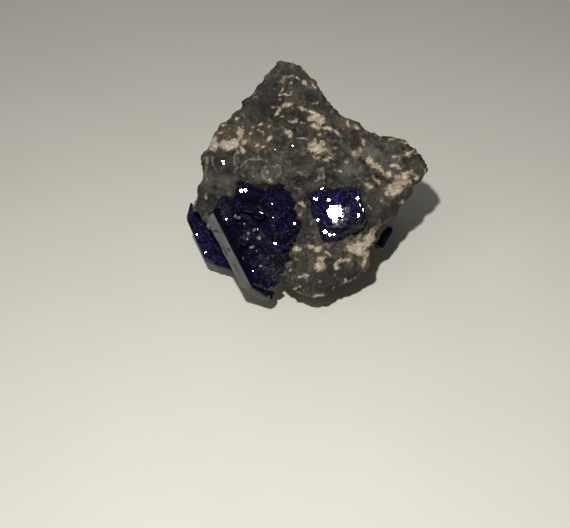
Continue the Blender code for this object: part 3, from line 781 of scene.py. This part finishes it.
def join(name, bodies):
    """One closed mesh out of crystals that grow through each other."""
    group = bpy.data.collections.new(name)
    objects = []
    for i, bm in enumerate(bodies):
        mesh = bpy.data.meshes.new(f"{name}_{i}")
        bm.to_mesh(mesh)
        bm.free()
        objects.append(bpy.data.objects.new(mesh.name, mesh))
    first, *others = objects
    bpy.context.scene.collection.objects.link(first)
    if others:
        for other in others:
            group.objects.link(other)
        union = first.modifiers.new("grown_together", "BOOLEAN")
        union.operation = "UNION"
        union.operand_type = "COLLECTION"
        union.collection = group
        union.solver = "MANIFOLD"
    most = max(len(o.data.polygons) for o in objects)
    mesh = evaluated_mesh(first)
    if len(mesh.polygons) < max(most, FEWEST_FACES * len(objects)):
        raise RuntimeError(f"the crystals of {name} didn't join")
    drop_slivers(mesh)
    mesh.name = name
    for other in others:
        bpy.data.objects.remove(other)
    bpy.data.collections.remove(group)
    mesh.transform(Matrix.Scale(MM, 4) @ FACE_TO_WORLD)
    mesh.shade_flat()
    return mesh


def tree_of(bodies):
    """All the bodies as one tree for finding where a line meets them."""
    corners = []
    faces = []
    for bm in bodies:
        start = len(corners)
        bm.verts.index_update()
        corners += [v.co.copy() for v in bm.verts]
        faces += [[v.index + start for v in f.verts] for f in bm.faces]
    return BVHTree.FromPolygons(corners, faces)


def tree_of_piece(name):
    """A finished piece as such a tree, in the face frame."""
    inverse = (Matrix.Scale(MM, 4) @ FACE_TO_WORLD).inverted()
    mesh = bpy.data.objects[name].data
    corners = [inverse @ v.co for v in mesh.vertices]
    return BVHTree.FromPolygons(corners, [p.vertices for p in mesh.polygons])


def landing(tree, u, v):
    """Where the camera sees the place (u, v) of the display face on the bodies, and the normal."""
    start = FACE_TO_WORLD.inverted() @ Vector(CAMERA_PLACE)
    place, normal, _, _ = tree.ray_cast(start, (Vector((u, v, FACE_LEVEL)) - start).normalized())
    return place, normal


def druse(tree, outline, count, sizes, tilt, seed, keep_out=()):
    """Many small crystals that sit on the larger ones, each turned a little at random."""
    draw = random.Random(seed)
    lows = [min(c[i] for c in outline) for i in (0, 1)]
    highs = [max(c[i] for c in outline) for i in (0, 1)]
    bodies = []
    while len(bodies) < count:
        u = draw.uniform(lows[0], highs[0])
        v = draw.uniform(lows[1], highs[1])
        size = sizes[0] + (sizes[1] - sizes[0]) * draw.random() ** MOSTLY_SMALL
        lean = Vector([draw.gauss(0, tilt) for _ in range(3)])
        swing = 0.5 + draw.gauss(0, DRUSE_SWING)
        habit = draw.choice((TABLET, TABLET, PLATE))
        if not inside(u, v, outline) or (keep_out and patch_at(u, v, keep_out) > 0):
            continue
        place, normal = landing(tree, u, v)
        if place is None:
            continue
        side = (normal * DRUSE_OUT + Vector((0, 0, DRUSE_UP)) + lean).normalized()
        b_axis = (math.cos(swing), math.sin(swing), 0.1)
        middle = place - side * size * DRUSE_SINK
        body = crystal(habit, size, middle, side, b_axis, (), size * SMALL_WEAR)
        if all(edge.is_manifold for edge in body.edges):
            bodies.append(body)
    return bodies


def teeth(spots, seed):
    """Small crystals at given places, each turned at random."""
    draw = random.Random(seed)
    bodies = []
    for u, v, w, size in spots:
        side = (draw.gauss(0.1, 0.25), draw.gauss(0.1, 0.25), 0.95)
        b_axis = (draw.uniform(0.3, 1.0), draw.uniform(-0.8, 1.0), 0.0)
        bodies.append(crystal(TABLET, size, (u, v, w), side, b_axis, (), size * SMALL_WEAR))
    return bodies


def glint_side(place):
    """The direction halfway between the key light and the camera, seen from a place."""
    inverse = FACE_TO_WORLD.inverted()
    ways = [(inverse @ Vector(spot) - place).normalized() for spot in (KEY_PLACE, CAMERA_PLACE)]
    return (ways[0] + ways[1]).normalized()


def glints(tree, spots, rim_level):
    """Small crystals that catch the key light. One that stands just outside the larger
    crystals stands at rim_level."""
    bodies = []
    for u, v, size in spots:
        place, _ = landing(tree, u, v)
        if place is None:
            place = Vector((u, v, rim_level))
        side = glint_side(place)
        middle = place - side * size * GLINT_SINK
        bodies.append(crystal(LAYER, size, middle, side, (0.9, 0.4, 0.0), (), size * GLINT_WEAR))
    return bodies


def paint_inner_light_and_dust(mesh, base, spread, seed):
    """Gives each facet its share of inner blue, light from inside painted on: a little at random, more
    near the vivid places and none where shade is painted. Each facet also gets its share of dust."""
    draw = random.Random(seed)
    inverse = FACE_TO_WORLD.inverted()
    tones = []
    dusts = []
    for facet in mesh.polygons:
        middle = inverse @ (facet.center / MM)
        tone = base + spread * draw.random() ** MOSTLY_DARK
        for u, v, radius in INNER_LIGHT_SPOTS:
            near = 1 - math.hypot(middle.x - u, middle.y - v) / radius
            if near > 0 and draw.random() < VIVID_SHARE:
                tone += VIVID_GAIN * near
        # Painted shade: in these places the inner blue falls away.
        share = max(0.0, min(1.0, PAINTED_SHADE_GAIN * patch_at(middle.x, middle.y, PAINTED_SHADE_PLACES)))
        tone += share * (PAINTED_SHADE_TONE - tone)
        tones.append(min(tone, MOST_TONE))
        cover = max(0.0, min(1.0, DUST_GAIN * patch_at(middle.x, middle.y, DUSTY)))
        dusts.append(cover * draw.uniform(*DUST_SHARE))
    mesh.attributes.new("tone", "FLOAT", "FACE").data.foreach_set("value", tones)
    mesh.attributes.new("dust", "FLOAT", "FACE").data.foreach_set("value", dusts)


def tablet_layers():
    """Thin layers on the big tablet, each a low copy of it."""
    habit, size, middle, side, b_axis, _ = TABLET_CRYSTALS[0]
    up = Vector(side).normalized()
    bodies = []
    for i, (shift_u, shift_v, layer_size, rise, lean_u, lean_v) in enumerate(TABLET_LAYERS):
        leaning = up + Vector((math.radians(lean_u), math.radians(lean_v), 0))
        lift = habit[0][1] * size + rise - LAYER[0][1] * layer_size
        place = Vector(middle) + up * lift + Vector((shift_u, shift_v, 0))
        turned = Matrix.Rotation(math.radians(3 * (i % 3 - 1)), 3, "Z") @ Vector(b_axis)
        bodies.append(crystal(LAYER, layer_size, place, leaning, turned, (), LAYER_WEAR))
    return bodies


def coating_mesh():
    """A thin rough film over the narrow side and the broken end of the big blade."""
    habit, size, middle, flat_side, b_axis, breaks = BIG_BLADE
    x_axis = crystal_axes(flat_side, b_axis)[0]
    reach = habit[1][1] * size - COATING_DEPTH
    inner = ((-x_axis, Vector(middle) + x_axis * reach),)
    break_side, break_place = breaks[0]
    break_side = Vector(break_side).normalized()
    end = ((-break_side, Vector(break_place) - break_side * COATING_DEPTH),)
    bodies = [
        crystal(habit, size, middle, flat_side, b_axis, breaks + cut, LAYER_WEAR, COATING_PROUD)
        for cut in (inner, end)
    ]
    film = even_mesh("rough", join("coating", bodies), COATING_MESH * MM)
    places, outward = points_and_normals(film)
    rise = COATING_ROUGH * MM * fractal_at(places / MM, COATING_LUMPS, 3)
    places += outward * rise[:, None]
    move_points(film, places)
    face = to_face_frame(as_array(v.co for v in film.vertices) / MM)
    u = face[:, 0] + CHIP_WANDER * fractal_at(face, COATING_LUMPS)
    chip = smooth_step(-0.1, 0.3, patch_field(u, face[:, 1], FILM_CHIPS)[0])
    film.attributes.new("chip", "FLOAT", "POINT").data.foreach_set("value", chip)
    return film


def dolomite_mesh(tree):
    """Small rounded, knobbly grains."""
    bodies = []
    for i, (u, v, size, stretch) in enumerate(DOLOMITE):
        place, _ = landing(tree, u, v)
        bm = bmesh.new()
        bmesh.ops.create_icosphere(bm, subdivisions=3, radius=size)
        turn = Matrix.Rotation(i * GRAIN_TURN, 4, "Z")
        shape = Matrix.Diagonal((stretch, 1 / stretch, DOLOMITE_HEIGHT, 1))
        bmesh.ops.transform(bm, matrix=Matrix.Translation(place) @ turn @ shape, verts=bm.verts)
        for vertex in bm.verts:
            away = (vertex.co - place).normalized()
            knob = noise.fractal(vertex.co / (size * DOLOMITE_LUMPS), 1.0, 2.0, 2)
            vertex.co += away * size * DOLOMITE_ROUGH * knob
        bodies.append(bm)
    mesh = join("dust", bodies)
    mesh.shade_smooth()
    return mesh


def calcite_mesh(tree):
    """Small rhombs of calcite, one cleavage face of each turned up."""
    bodies = []
    for i, (u, v, size, turned) in enumerate(CALCITE):
        place, _ = landing(tree, u, v)
        bm = bmesh.new()
        bmesh.ops.create_cube(bm, size=size * CUBE_SHARE)
        up = glint_side(place).to_track_quat("Z", "Y").to_matrix().to_4x4()
        spin = Matrix.Rotation(i * CALCITE_TURN, 4, "Z")
        turn = up @ spin @ Matrix.Rotation(math.radians(turned), 4, "X")
        bmesh.ops.transform(bm, matrix=Matrix.Translation(place) @ turn @ RHOMB, verts=bm.verts)
        bodies.append(bm)
    return join("calcite", bodies)


# ================================================================ materials
def new_material(name):
    material = bpy.data.materials.new(name)
    material.use_nodes = True
    tree = material.node_tree
    return material, tree, tree.nodes["Principled BSDF"]


def set_sockets(tree, node, sockets):
    """Links or sets each of the node's sockets that is named."""
    for name, value in sockets.items():
        if isinstance(value, bpy.types.NodeSocket):
            tree.links.new(value, node.inputs[name])
        else:
            node.inputs[name].default_value = value


def add_node(tree, kind, inputs, out=0, **settings):
    """Adds a shader node, sets or links its inputs and returns one of its outputs."""
    made = tree.nodes.new("ShaderNode" + kind)
    for name, value in settings.items():
        setattr(made, name, value)
    set_sockets(tree, made, inputs)
    return made.outputs[out]


def per_size(millimetres):
    """Texture scale that gives features of that size in object space, which is in metres."""
    return 1 / (millimetres * MM)


def rock_material(s):
    """Limonite-stained siltstone, broken: matt grains, dark hollows, pale specks and veins,
    with a dull chalky crust of dolomite in patches."""
    material, tree, shader = new_material("broken_limonitic_siltstone")
    place = add_node(tree, "TexCoord", {}, "Object")
    mask = {name: add_node(tree, "Attribute", {}, "Fac", attribute_name=name) for name in ROCK_MASKS}
    # Cloudy change of tone, a beige bloom, single grains a few tenths across, and grit. Real silt
    # is finer than 0.06, too fine to show, so the grit is drawn at 0.24.
    clouds, bloom, grains, grit = (
        add_node(tree, "TexNoise",
                 {"Vector": place, "Scale": per_size(size), "Detail": detail, "Roughness": rough})
        for size, detail, rough in ((2.2, 5.0, 0.6), (0.85, 5.0, 0.62), (0.55, 4.0, 0.65), (0.24, 3.0, 0.7))
    )
    rim = add_node(tree, "Math", {0: grit, 1: grains}, operation="ADD")
    rim = add_node(tree, "Math", {0: rim, 1: 1.1, 2: mask["crust"]}, operation="MULTIPLY_ADD")
    tone, bloom, speckle, gaps, mottle, lumps, thick, cover = (
        add_node(tree, "MapRange", {"Value": value, "From Min": low, "From Max": high, "To Max": most},
                 interpolation_type="SMOOTHSTEP")
        for value, low, high, most in (
            (clouds, 0.36, 0.64, 1.0), (bloom, 0.50, 0.68, 1.0), (grains, 0.53, 0.70, 0.85),
            (grains, 0.46, 0.30, 0.8), (grit, 0.30, 0.56, 1.0), (grains, 0.50, 0.66, 0.75),
            (rim, 1.40, 2.20, 1.0), (rim, 1.12, 1.72, 1.0),
        )
    )
    # The shade mask darkens the rock's own dark parts and paints shade on the flank below the prong; below
    # 0 it lightens toward the pale rock.
    around, dark_rock_and_shade, pale, thread, painted_recess_shade, plate = (
        add_node(tree, "Math", {0: mask[name], 1: share}, operation="MULTIPLY")
        for name, share in (
            ("halo", 0.45), ("shade", 0.9), ("shade", -0.6), ("vein", 0.75), ("recess", 0.7), ("slab", 0.7),
        )
    )
    stain = add_node(tree, "Math", {0: tone, 1: 0.5, 2: 0.4}, operation="MULTIPLY_ADD")
    stain = add_node(tree, "Math", {0: mask["ochre"], 1: stain}, operation="MULTIPLY")
    # The bloom clouds the rock, most of all round the crust.
    near = add_node(tree, "Math", {0: mask["halo"], 1: 0.72, 2: 0.15}, operation="MULTIPLY_ADD")
    bloom = add_node(tree, "Math", {0: bloom, 1: near}, operation="MULTIPLY")
    # The bare rock, from its darkest tone up. The recess layer is painted shade in the cracks, the pits
    # and the low ground between knobs.
    base = s.dark
    for share, laid in (
        (tone, s.grey), (speckle, s.speck), (gaps, linear(GAP_COLOUR)), (stain, s.ochre),
        (around, linear(HALO_COLOUR)), (bloom, linear(BLOOM_COLOUR)), (dark_rock_and_shade, linear(DARK_ROCK_AND_SHADE_COLOUR)),
        (pale, linear(PALE_COLOUR)), (thread, s.vein), (painted_recess_shade, linear(RECESS_SHADE_COLOUR)),
    ):
        base = add_node(tree, "Mix", {0: share, 6: base, 7: laid}, 2, data_type="RGBA")
    # The crust is thin at its rim, where grains of rock show through it.
    mottle = add_node(tree, "Math", {0: mottle, 1: plate}, operation="MAXIMUM")
    chalk = s.cream
    for share, laid in ((mask["pink"], s.pink), (plate, linear(PLATE_COLOUR))):
        chalk = add_node(tree, "Mix", {0: share, 6: chalk, 7: laid}, 2, data_type="RGBA")
    chalk = add_node(tree, "Mix", {0: mottle, 6: linear(MOTTLE_COLOUR), 7: chalk}, 2, data_type="RGBA")
    chalk = add_node(tree, "Mix", {0: lumps, 6: chalk, 7: linear(LUMP_COLOUR)}, 2, data_type="RGBA")
    chalk = add_node(tree, "Mix", {0: thick, 6: linear(THIN_CRUST_COLOUR), 7: chalk}, 2, data_type="RGBA")
    skin = add_node(tree, "Mix", {0: cover, 6: base, 7: chalk}, 2, data_type="RGBA")
    sheen = add_node(tree, "MapRange",
                     {"Value": grit, "From Min": 0.3, "From Max": 0.7, "To Min": 0.95, "To Max": 0.55})
    dull = add_node(tree, "Mix", {0: cover, 2: sheen, 3: 0.95})
    relief = add_node(tree, "Math", {0: grains, 1: grit}, operation="ADD")
    bump = add_node(tree, "Bump", {"Height": relief, "Distance": 0.08 * MM, "Strength": 1.0})
    set_sockets(tree, shader, {"Base Color": skin, "Roughness": dull, "Normal": bump,
                               "IOR": 1.55, "Specular IOR Level": 0.4})
    return material


def azurite_material(s):
    """Azurite, grown crystal faces: glassy and almost opaque, near black where it is thick, with
    violet blue painted on where light would come back from cleavages inside. The faces wave very slightly."""
    material, tree, shader = new_material(AZURITE_FINISH)
    place = add_node(tree, "TexCoord", {}, "Object")
    tone, dust = (
        add_node(tree, "Attribute", {}, "Fac", attribute_name=name) for name in ("tone", "dust")
    )
    # Dust is finer than 0.05, too fine to show, so its specks are drawn at 0.16.
    clouds, flecks, specks = (
        add_node(tree, "TexNoise",
                 {"Vector": place, "Scale": per_size(size), "Detail": detail, "Roughness": rough})
        for size, detail, rough in ((0.35, 4.0, 0.65), (0.34, 4.0, 0.65), (0.16, 3.0, 0.7))
    )
    # The painted inner light comes as angular patches, like cleavages inside, mottled with cloudy
    # inclusions.
    bend = add_node(tree, "TexNoise", {"Vector": place, "Scale": per_size(0.8), "Detail": 3.0}, "Color")
    bend = add_node(tree, "VectorMath", {0: bend, "Scale": 0.35 * MM}, operation="SCALE")
    bent = add_node(tree, "VectorMath", {0: place, 1: bend}, operation="ADD")
    patches = add_node(tree, "TexVoronoi", {"Vector": bent, "Scale": per_size(0.75)}, "Color")
    patch = add_node(tree, "SeparateColor", {0: patches}, "Red")
    patch = add_node(tree, "MapRange", {"Value": patch, "From Min": 0.3, "To Min": 0.1})
    cloud = add_node(tree, "MapRange",
                     {"Value": clouds, "From Min": 0.38, "From Max": 0.62, "To Min": 0.35},
                     interpolation_type="SMOOTHSTEP")
    inner = add_node(tree, "Math", {0: tone, 1: patch}, operation="MULTIPLY")
    inner = add_node(tree, "Math", {0: inner, 1: cloud}, operation="MULTIPLY", use_clamp=True)
    clear = add_node(tree, "MapRange", {"Value": inner, "From Min": 0.60, "From Max": 1.0})
    # Cloudy flecks just under the faces show a pale greyish violet. They follow the painted inner light,
    # so they are partly painted light too.
    flecks = add_node(tree, "MapRange", {"Value": flecks, "From Min": 0.50, "From Max": 0.76},
                      interpolation_type="SMOOTHSTEP")
    pallor = add_node(tree, "Math", {0: tone, 1: 0.80, 2: 0.05}, operation="MULTIPLY_ADD")
    flecks = add_node(tree, "Math", {0: flecks, 1: pallor}, operation="MULTIPLY", use_clamp=True)
    # Grey dust has settled in places, and dulls the face under it.
    specks = add_node(tree, "MapRange", {"Value": specks, "From Min": 0.46, "From Max": 0.66})
    dust = add_node(tree, "Math", {0: dust, 1: specks}, operation="MULTIPLY")
    body = s.night
    for share, laid in (
        (inner, s.inner_light_violet), (clear, s.inner_light_blue), (flecks, linear(FLECK_COLOUR)), (dust, linear(DUST_COLOUR)),
    ):
        body = add_node(tree, "Mix", {0: share, 6: body, 7: laid}, 2, data_type="RGBA")
    gloss = add_node(tree, "MapRange",
                     {"Value": clouds, "From Min": 0.4, "From Max": 0.7, "To Min": 0.010, "To Max": 0.035})
    gloss = add_node(tree, "Mix", {0: dust, 2: gloss, 3: 0.55})
    wave = add_node(tree, "TexNoise", {"Vector": place, "Scale": per_size(0.9), "Detail": 2.0})
    bump = add_node(tree, "Bump", {"Height": wave, "Distance": s.facet_wave, "Strength": 1.0})
    set_sockets(tree, shader, {"Base Color": body, "Roughness": gloss, "Normal": bump,
                               "IOR": 1.76, "Specular IOR Level": 0.2})
    return material


def coating_material(s):
    """A grey film on the blade's narrow side and broken end: dull, streaked along the blade, with dark
    chips.
    """
    material, tree, shader = new_material("grey_carbonate_film")
    place = add_node(tree, "TexCoord", {}, "Object")
    # The streaks are five times as long as they are wide.
    along = FACE_TO_WORLD.to_3x3() @ Vector(BIG_BLADE[4]).normalized()
    reach = add_node(tree, "VectorMath", {0: place, 1: along}, "Value", operation="DOT_PRODUCT")
    squeeze = add_node(tree, "VectorMath", {0: along, "Scale": reach}, operation="SCALE")
    squeeze = add_node(tree, "VectorMath", {0: squeeze, "Scale": 0.8}, operation="SCALE")
    drawn = add_node(tree, "VectorMath", {0: place, 1: squeeze}, operation="SUBTRACT")
    # The film's own grain is too fine to show, so it is drawn at 0.30.
    fine = add_node(tree, "TexNoise",
                    {"Vector": place, "Scale": per_size(0.30), "Detail": 4.0, "Roughness": 0.6})
    broad = add_node(tree, "TexNoise", {"Vector": drawn, "Scale": per_size(0.6), "Detail": 3.0})
    streak = add_node(tree, "MapRange", {"Value": broad, "From Min": 0.58, "From Max": 0.70, "To Max": 0.8},
                      interpolation_type="SMOOTHSTEP")
    chip = add_node(tree, "Attribute", {}, "Fac", attribute_name="chip")
    worn = add_node(tree, "Math", {0: streak, 1: chip}, operation="MAXIMUM")
    tint = add_node(tree, "MapRange", {"Value": broad, "From Min": 0.35, "From Max": 0.60})
    skin = s.coating
    for share, laid in ((tint, linear(THICK_FILM_COLOUR)), (worn, s.coating_streak)):
        skin = add_node(tree, "Mix", {0: share, 6: skin, 7: laid}, 2, data_type="RGBA")
    bump = add_node(tree, "Bump", {"Height": fine, "Distance": 0.03 * MM, "Strength": 0.7})
    set_sockets(tree, shader, {"Base Color": skin, "Roughness": 0.7, "Normal": bump})
    return material


def dolomite_material():
    """Pinkish dolomite, fine-grained: dull and a little mottled."""
    material, tree, shader = new_material("pinkish_dolomite_grains")
    place = add_node(tree, "TexCoord", {}, "Object")
    mottle = add_node(tree, "TexNoise", {"Vector": place, "Scale": per_size(0.5), "Detail": 4.0})
    share = add_node(tree, "MapRange", {"Value": mottle, "From Min": 0.4, "From Max": 0.6})
    dark, pale = (linear(code) for code in DOLOMITE_COLOURS)
    skin = add_node(tree, "Mix", {0: share, 6: dark, 7: pale}, 2, data_type="RGBA")
    set_sockets(tree, shader, {"Base Color": skin, "Roughness": 0.6})
    return material


def calcite_material():
    """Calcite, cleaved: clear and glassy, so each grain is a spark on the rock."""
    material, tree, shader = new_material("clear_calcite_cleaved")
    place = add_node(tree, "TexCoord", {}, "Object")
    haze = add_node(tree, "TexNoise", {"Vector": place, "Scale": per_size(0.2), "Detail": 2.0})
    rough = add_node(tree, "MapRange", {"Value": haze, "To Min": 0.05, "To Max": 0.25})
    set_sockets(tree, shader, {"Roughness": rough, "Base Color": linear(CALCITE_COLOUR), "IOR": 1.66,
                               "Transmission Weight": 0.8})
    return material


def floor_material(s):
    """Board painted with matt emulsion: pale, even and dull, with a faint unevenness."""
    material, tree, shader = new_material("matt_painted_board")
    place = add_node(tree, "TexCoord", {}, "Object")
    uneven = add_node(tree, "TexNoise", {"Vector": place, "Scale": per_size(18), "Detail": 3.0})
    shade = linear(FLOOR_SHADE_COLOUR)
    skin = add_node(tree, "Mix", {0: uneven, 6: shade, 7: s.floor}, 2, data_type="RGBA")
    set_sockets(tree, shader, {"Base Color": skin, "Roughness": 0.8})
    return material


# ================================================================ operators
def add_light(name, kind, place, watts, width):
    """A light at a place in millimetres that shines at the specimen."""
    data = bpy.data.lights.new(name, kind)
    data.energy = watts
    if kind == "AREA":
        data.size = width * MM
    else:
        data.shadow_soft_size = width * MM
    light = bpy.data.objects.new(name, data)
    light.location = Vector(place) * MM
    light.rotation_euler = (Vector(place) - Vector(LIGHT_AIM)).to_track_quat("Z", "Y").to_euler()
    bpy.context.scene.collection.objects.link(light)
    return light


def show_crystals(name, bodies, replaced, tone, spread, seed):
    """Joins crystals to one piece of azurite. All of these pieces share one finish."""
    mesh = join(name, bodies)
    # tone and spread set the piece's painted inner light.
    paint_inner_light_and_dust(mesh, tone, spread, seed)
    material = bpy.data.materials.get(AZURITE_FINISH)
    material = material or azurite_material(bpy.context.scene.azurite_crystals)
    new_piece(name, mesh, material, (replaced,))


class AZURITE_OT_stage(Operator):
    """Floor, light and camera"""

    bl_idname = "azurite.stage"
    bl_label = "Stage"

    def execute(self, context):
        stage = context.scene.azurite_stage
        bpy.ops.mesh.primitive_plane_add(size=FLOOR_WIDTH * MM)
        floor = context.object
        floor.name = "floor"
        floor.data.materials.append(floor_material(stage))
        world = bpy.data.worlds.new("pale_studio")
        context.scene.world = world
        world.use_nodes = True
        background = world.node_tree.nodes["Background"]
        background.inputs["Color"].default_value = linear(STUDIO_COLOUR)
        background.inputs["Strength"].default_value = STUDIO_STRENGTH
        world.cycles_visibility.glossy = False
        add_light("key", "POINT", KEY_PLACE, stage.key_power, KEY_RADIUS)
        for name, place in SOFT_LIGHTS:
            add_light(name, "AREA", place, stage.fill_power, SOFT_WIDTH).visible_glossy = False
        data = bpy.data.cameras.new("camera")
        data.sensor_width = SENSOR_WIDTH
        data.lens = stage.lens
        data.clip_start = CLIP_START * MM
        camera = bpy.data.objects.new("camera", data)
        context.scene.collection.objects.link(camera)
        right = Vector(CAMERA_RIGHT)
        back_way = Vector(CAMERA_BACK)
        axes = Matrix((right, back_way.cross(right), back_way)).transposed().to_4x4()
        camera.matrix_world = Matrix.Translation(Vector(CAMERA_PLACE) * MM) @ axes
        context.scene.camera = camera
        context.scene.view_settings.view_transform = "Standard"
        return {"FINISHED"}


class AZURITE_OT_host_rock(Operator):
    """The broken lump of host rock with its crust, veins and cracks"""

    bl_idname = "azurite.host_rock"
    bl_label = "Host rock"

    def execute(self, context):
        rock = context.scene.azurite_rock
        new_piece("host_rock_surface", rock_mesh(rock), rock_material(rock), ("host_rock",))
        return {"FINISHED"}


class AZURITE_OT_calcite(Operator):
    """Sparkling grains of calcite on the rock"""

    bl_idname = "azurite.calcite"
    bl_label = "Calcite grains"

    def execute(self, context):
        mesh = calcite_mesh(tree_of_piece("host_rock_surface"))
        new_piece("calcite_grains", mesh, calcite_material())
        return {"FINISHED"}


class AZURITE_OT_tablet(Operator):
    """The single tablet with its layers of growth"""

    bl_idname = "azurite.tablet"
    bl_label = "Tablet"

    def execute(self, context):
        bodies = [crystal(*TABLET_CRYSTALS[0], worn=0.16)]
        bodies += [crystal(*c, worn=0.06) for c in TABLET_CRYSTALS[1:]]
        bodies += tablet_layers()
        tree = tree_of(bodies)
        for patch in TABLET_DRUSE:
            bodies += druse(tree, *patch)
        bodies += glints(tree, TABLET_GLINTS, 2.1)
        show_crystals("azurite_tablet_grown", bodies, "azurite_tablet", tone=0.50, spread=0.45, seed=21)
        return {"FINISHED"}


class AZURITE_OT_rosette(Operator):
    """The rosette of blades with its druse of small crystals"""

    bl_idname = "azurite.rosette"
    bl_label = "Rosette"

    def execute(self, context):
        bodies = [crystal(*c, worn=0.07) for c in ROSETTE_CRYSTALS]
        bodies += teeth(ROSETTE_TEETH, 71)
        tree = tree_of(bodies)
        bodies += druse(tree, *ROSETTE_DRUSE)
        bodies += glints(tree, ROSETTE_GLINTS, 2.0)
        show_crystals("azurite_rosette_grown", bodies, "azurite_rosette", tone=0.08, spread=0.40, seed=41)
        return {"FINISHED"}


class AZURITE_OT_coating(Operator):
    """Grey film on the big blade's narrow side, and grains caught in the druse"""

    bl_idname = "azurite.coating"
    bl_label = "Coating and grains"

    def execute(self, context):
        film = coating_material(context.scene.azurite_crystals)
        new_piece("blade_side_film", coating_mesh(), film)
        mesh = dolomite_mesh(tree_of_piece("azurite_rosette_grown"))
        new_piece("dolomite_grains", mesh, dolomite_material())
        return {"FINISHED"}


class AZURITE_OT_side_blade(Operator):
    """The blade that stands out of the left flank"""

    bl_idname = "azurite.side_blade"
    bl_label = "Side blade"

    def execute(self, context):
        bodies = [crystal(*c, worn=0.08) for c in SIDE_BLADE_CRYSTALS]
        bodies += glints(tree_of(bodies), SIDE_GLINTS, -5.0)
        replaced = "azurite_side_blade"
        show_crystals("azurite_side_blade_grown", bodies, replaced, tone=0.50, spread=0.30, seed=51)
        return {"FINISHED"}


class AZURITE_OT_underside_crystal(Operator):
    """The crystal under the right overhang"""

    bl_idname = "azurite.underside_crystal"
    bl_label = "Underside crystal"

    def execute(self, context):
        bodies = [crystal(*c, worn=0.03) for c in UNDERSIDE_CRYSTALS]
        replaced = "azurite_underside_crystal"
        show_crystals("azurite_underside_grown", bodies, replaced, tone=0.0, spread=0.10, seed=61)
        return {"FINISHED"}


BUILD_ORDER = (
    AZURITE_OT_stage,
    AZURITE_OT_host_rock,
    AZURITE_OT_calcite,
    AZURITE_OT_tablet,
    AZURITE_OT_rosette,
    AZURITE_OT_coating,
    AZURITE_OT_side_blade,
    AZURITE_OT_underside_crystal,
)
GROUPS = {
    "azurite_rock": RockSettings,
    "azurite_crystals": AzuriteSettings,
    "azurite_stage": StageSettings,
}


class AZURITE_PT_specimen(Panel):
    """Lists the specimen's pieces and their settings"""

    bl_label = "Azurite specimen"
    bl_idname = "AZURITE_PT_specimen"
    bl_space_type = "VIEW_3D"
    bl_region_type = "UI"
    bl_category = "Azurite"

    def draw(self, context):
        for operator in BUILD_ORDER:
            self.layout.operator(operator.bl_idname)
        for name in GROUPS:
            group = getattr(context.scene, name)
            box = self.layout.box()
            for setting in group.__annotations__:
                box.prop(group, setting)


CLASSES = (*GROUPS.values(), *BUILD_ORDER, AZURITE_PT_specimen)


def register():
    for cls in CLASSES:
        bpy.utils.register_class(cls)
    for name, group in GROUPS.items():
        setattr(bpy.types.Scene, name, PointerProperty(type=group))


def unregister():
    for name in GROUPS:
        delattr(bpy.types.Scene, name)
    for cls in reversed(CLASSES):
        bpy.utils.unregister_class(cls)


def main():
    register()
    for operator in BUILD_ORDER:
        group, name = operator.bl_idname.split(".")
        getattr(getattr(bpy.ops, group), name)()


if __name__ == "__main__":
    main()
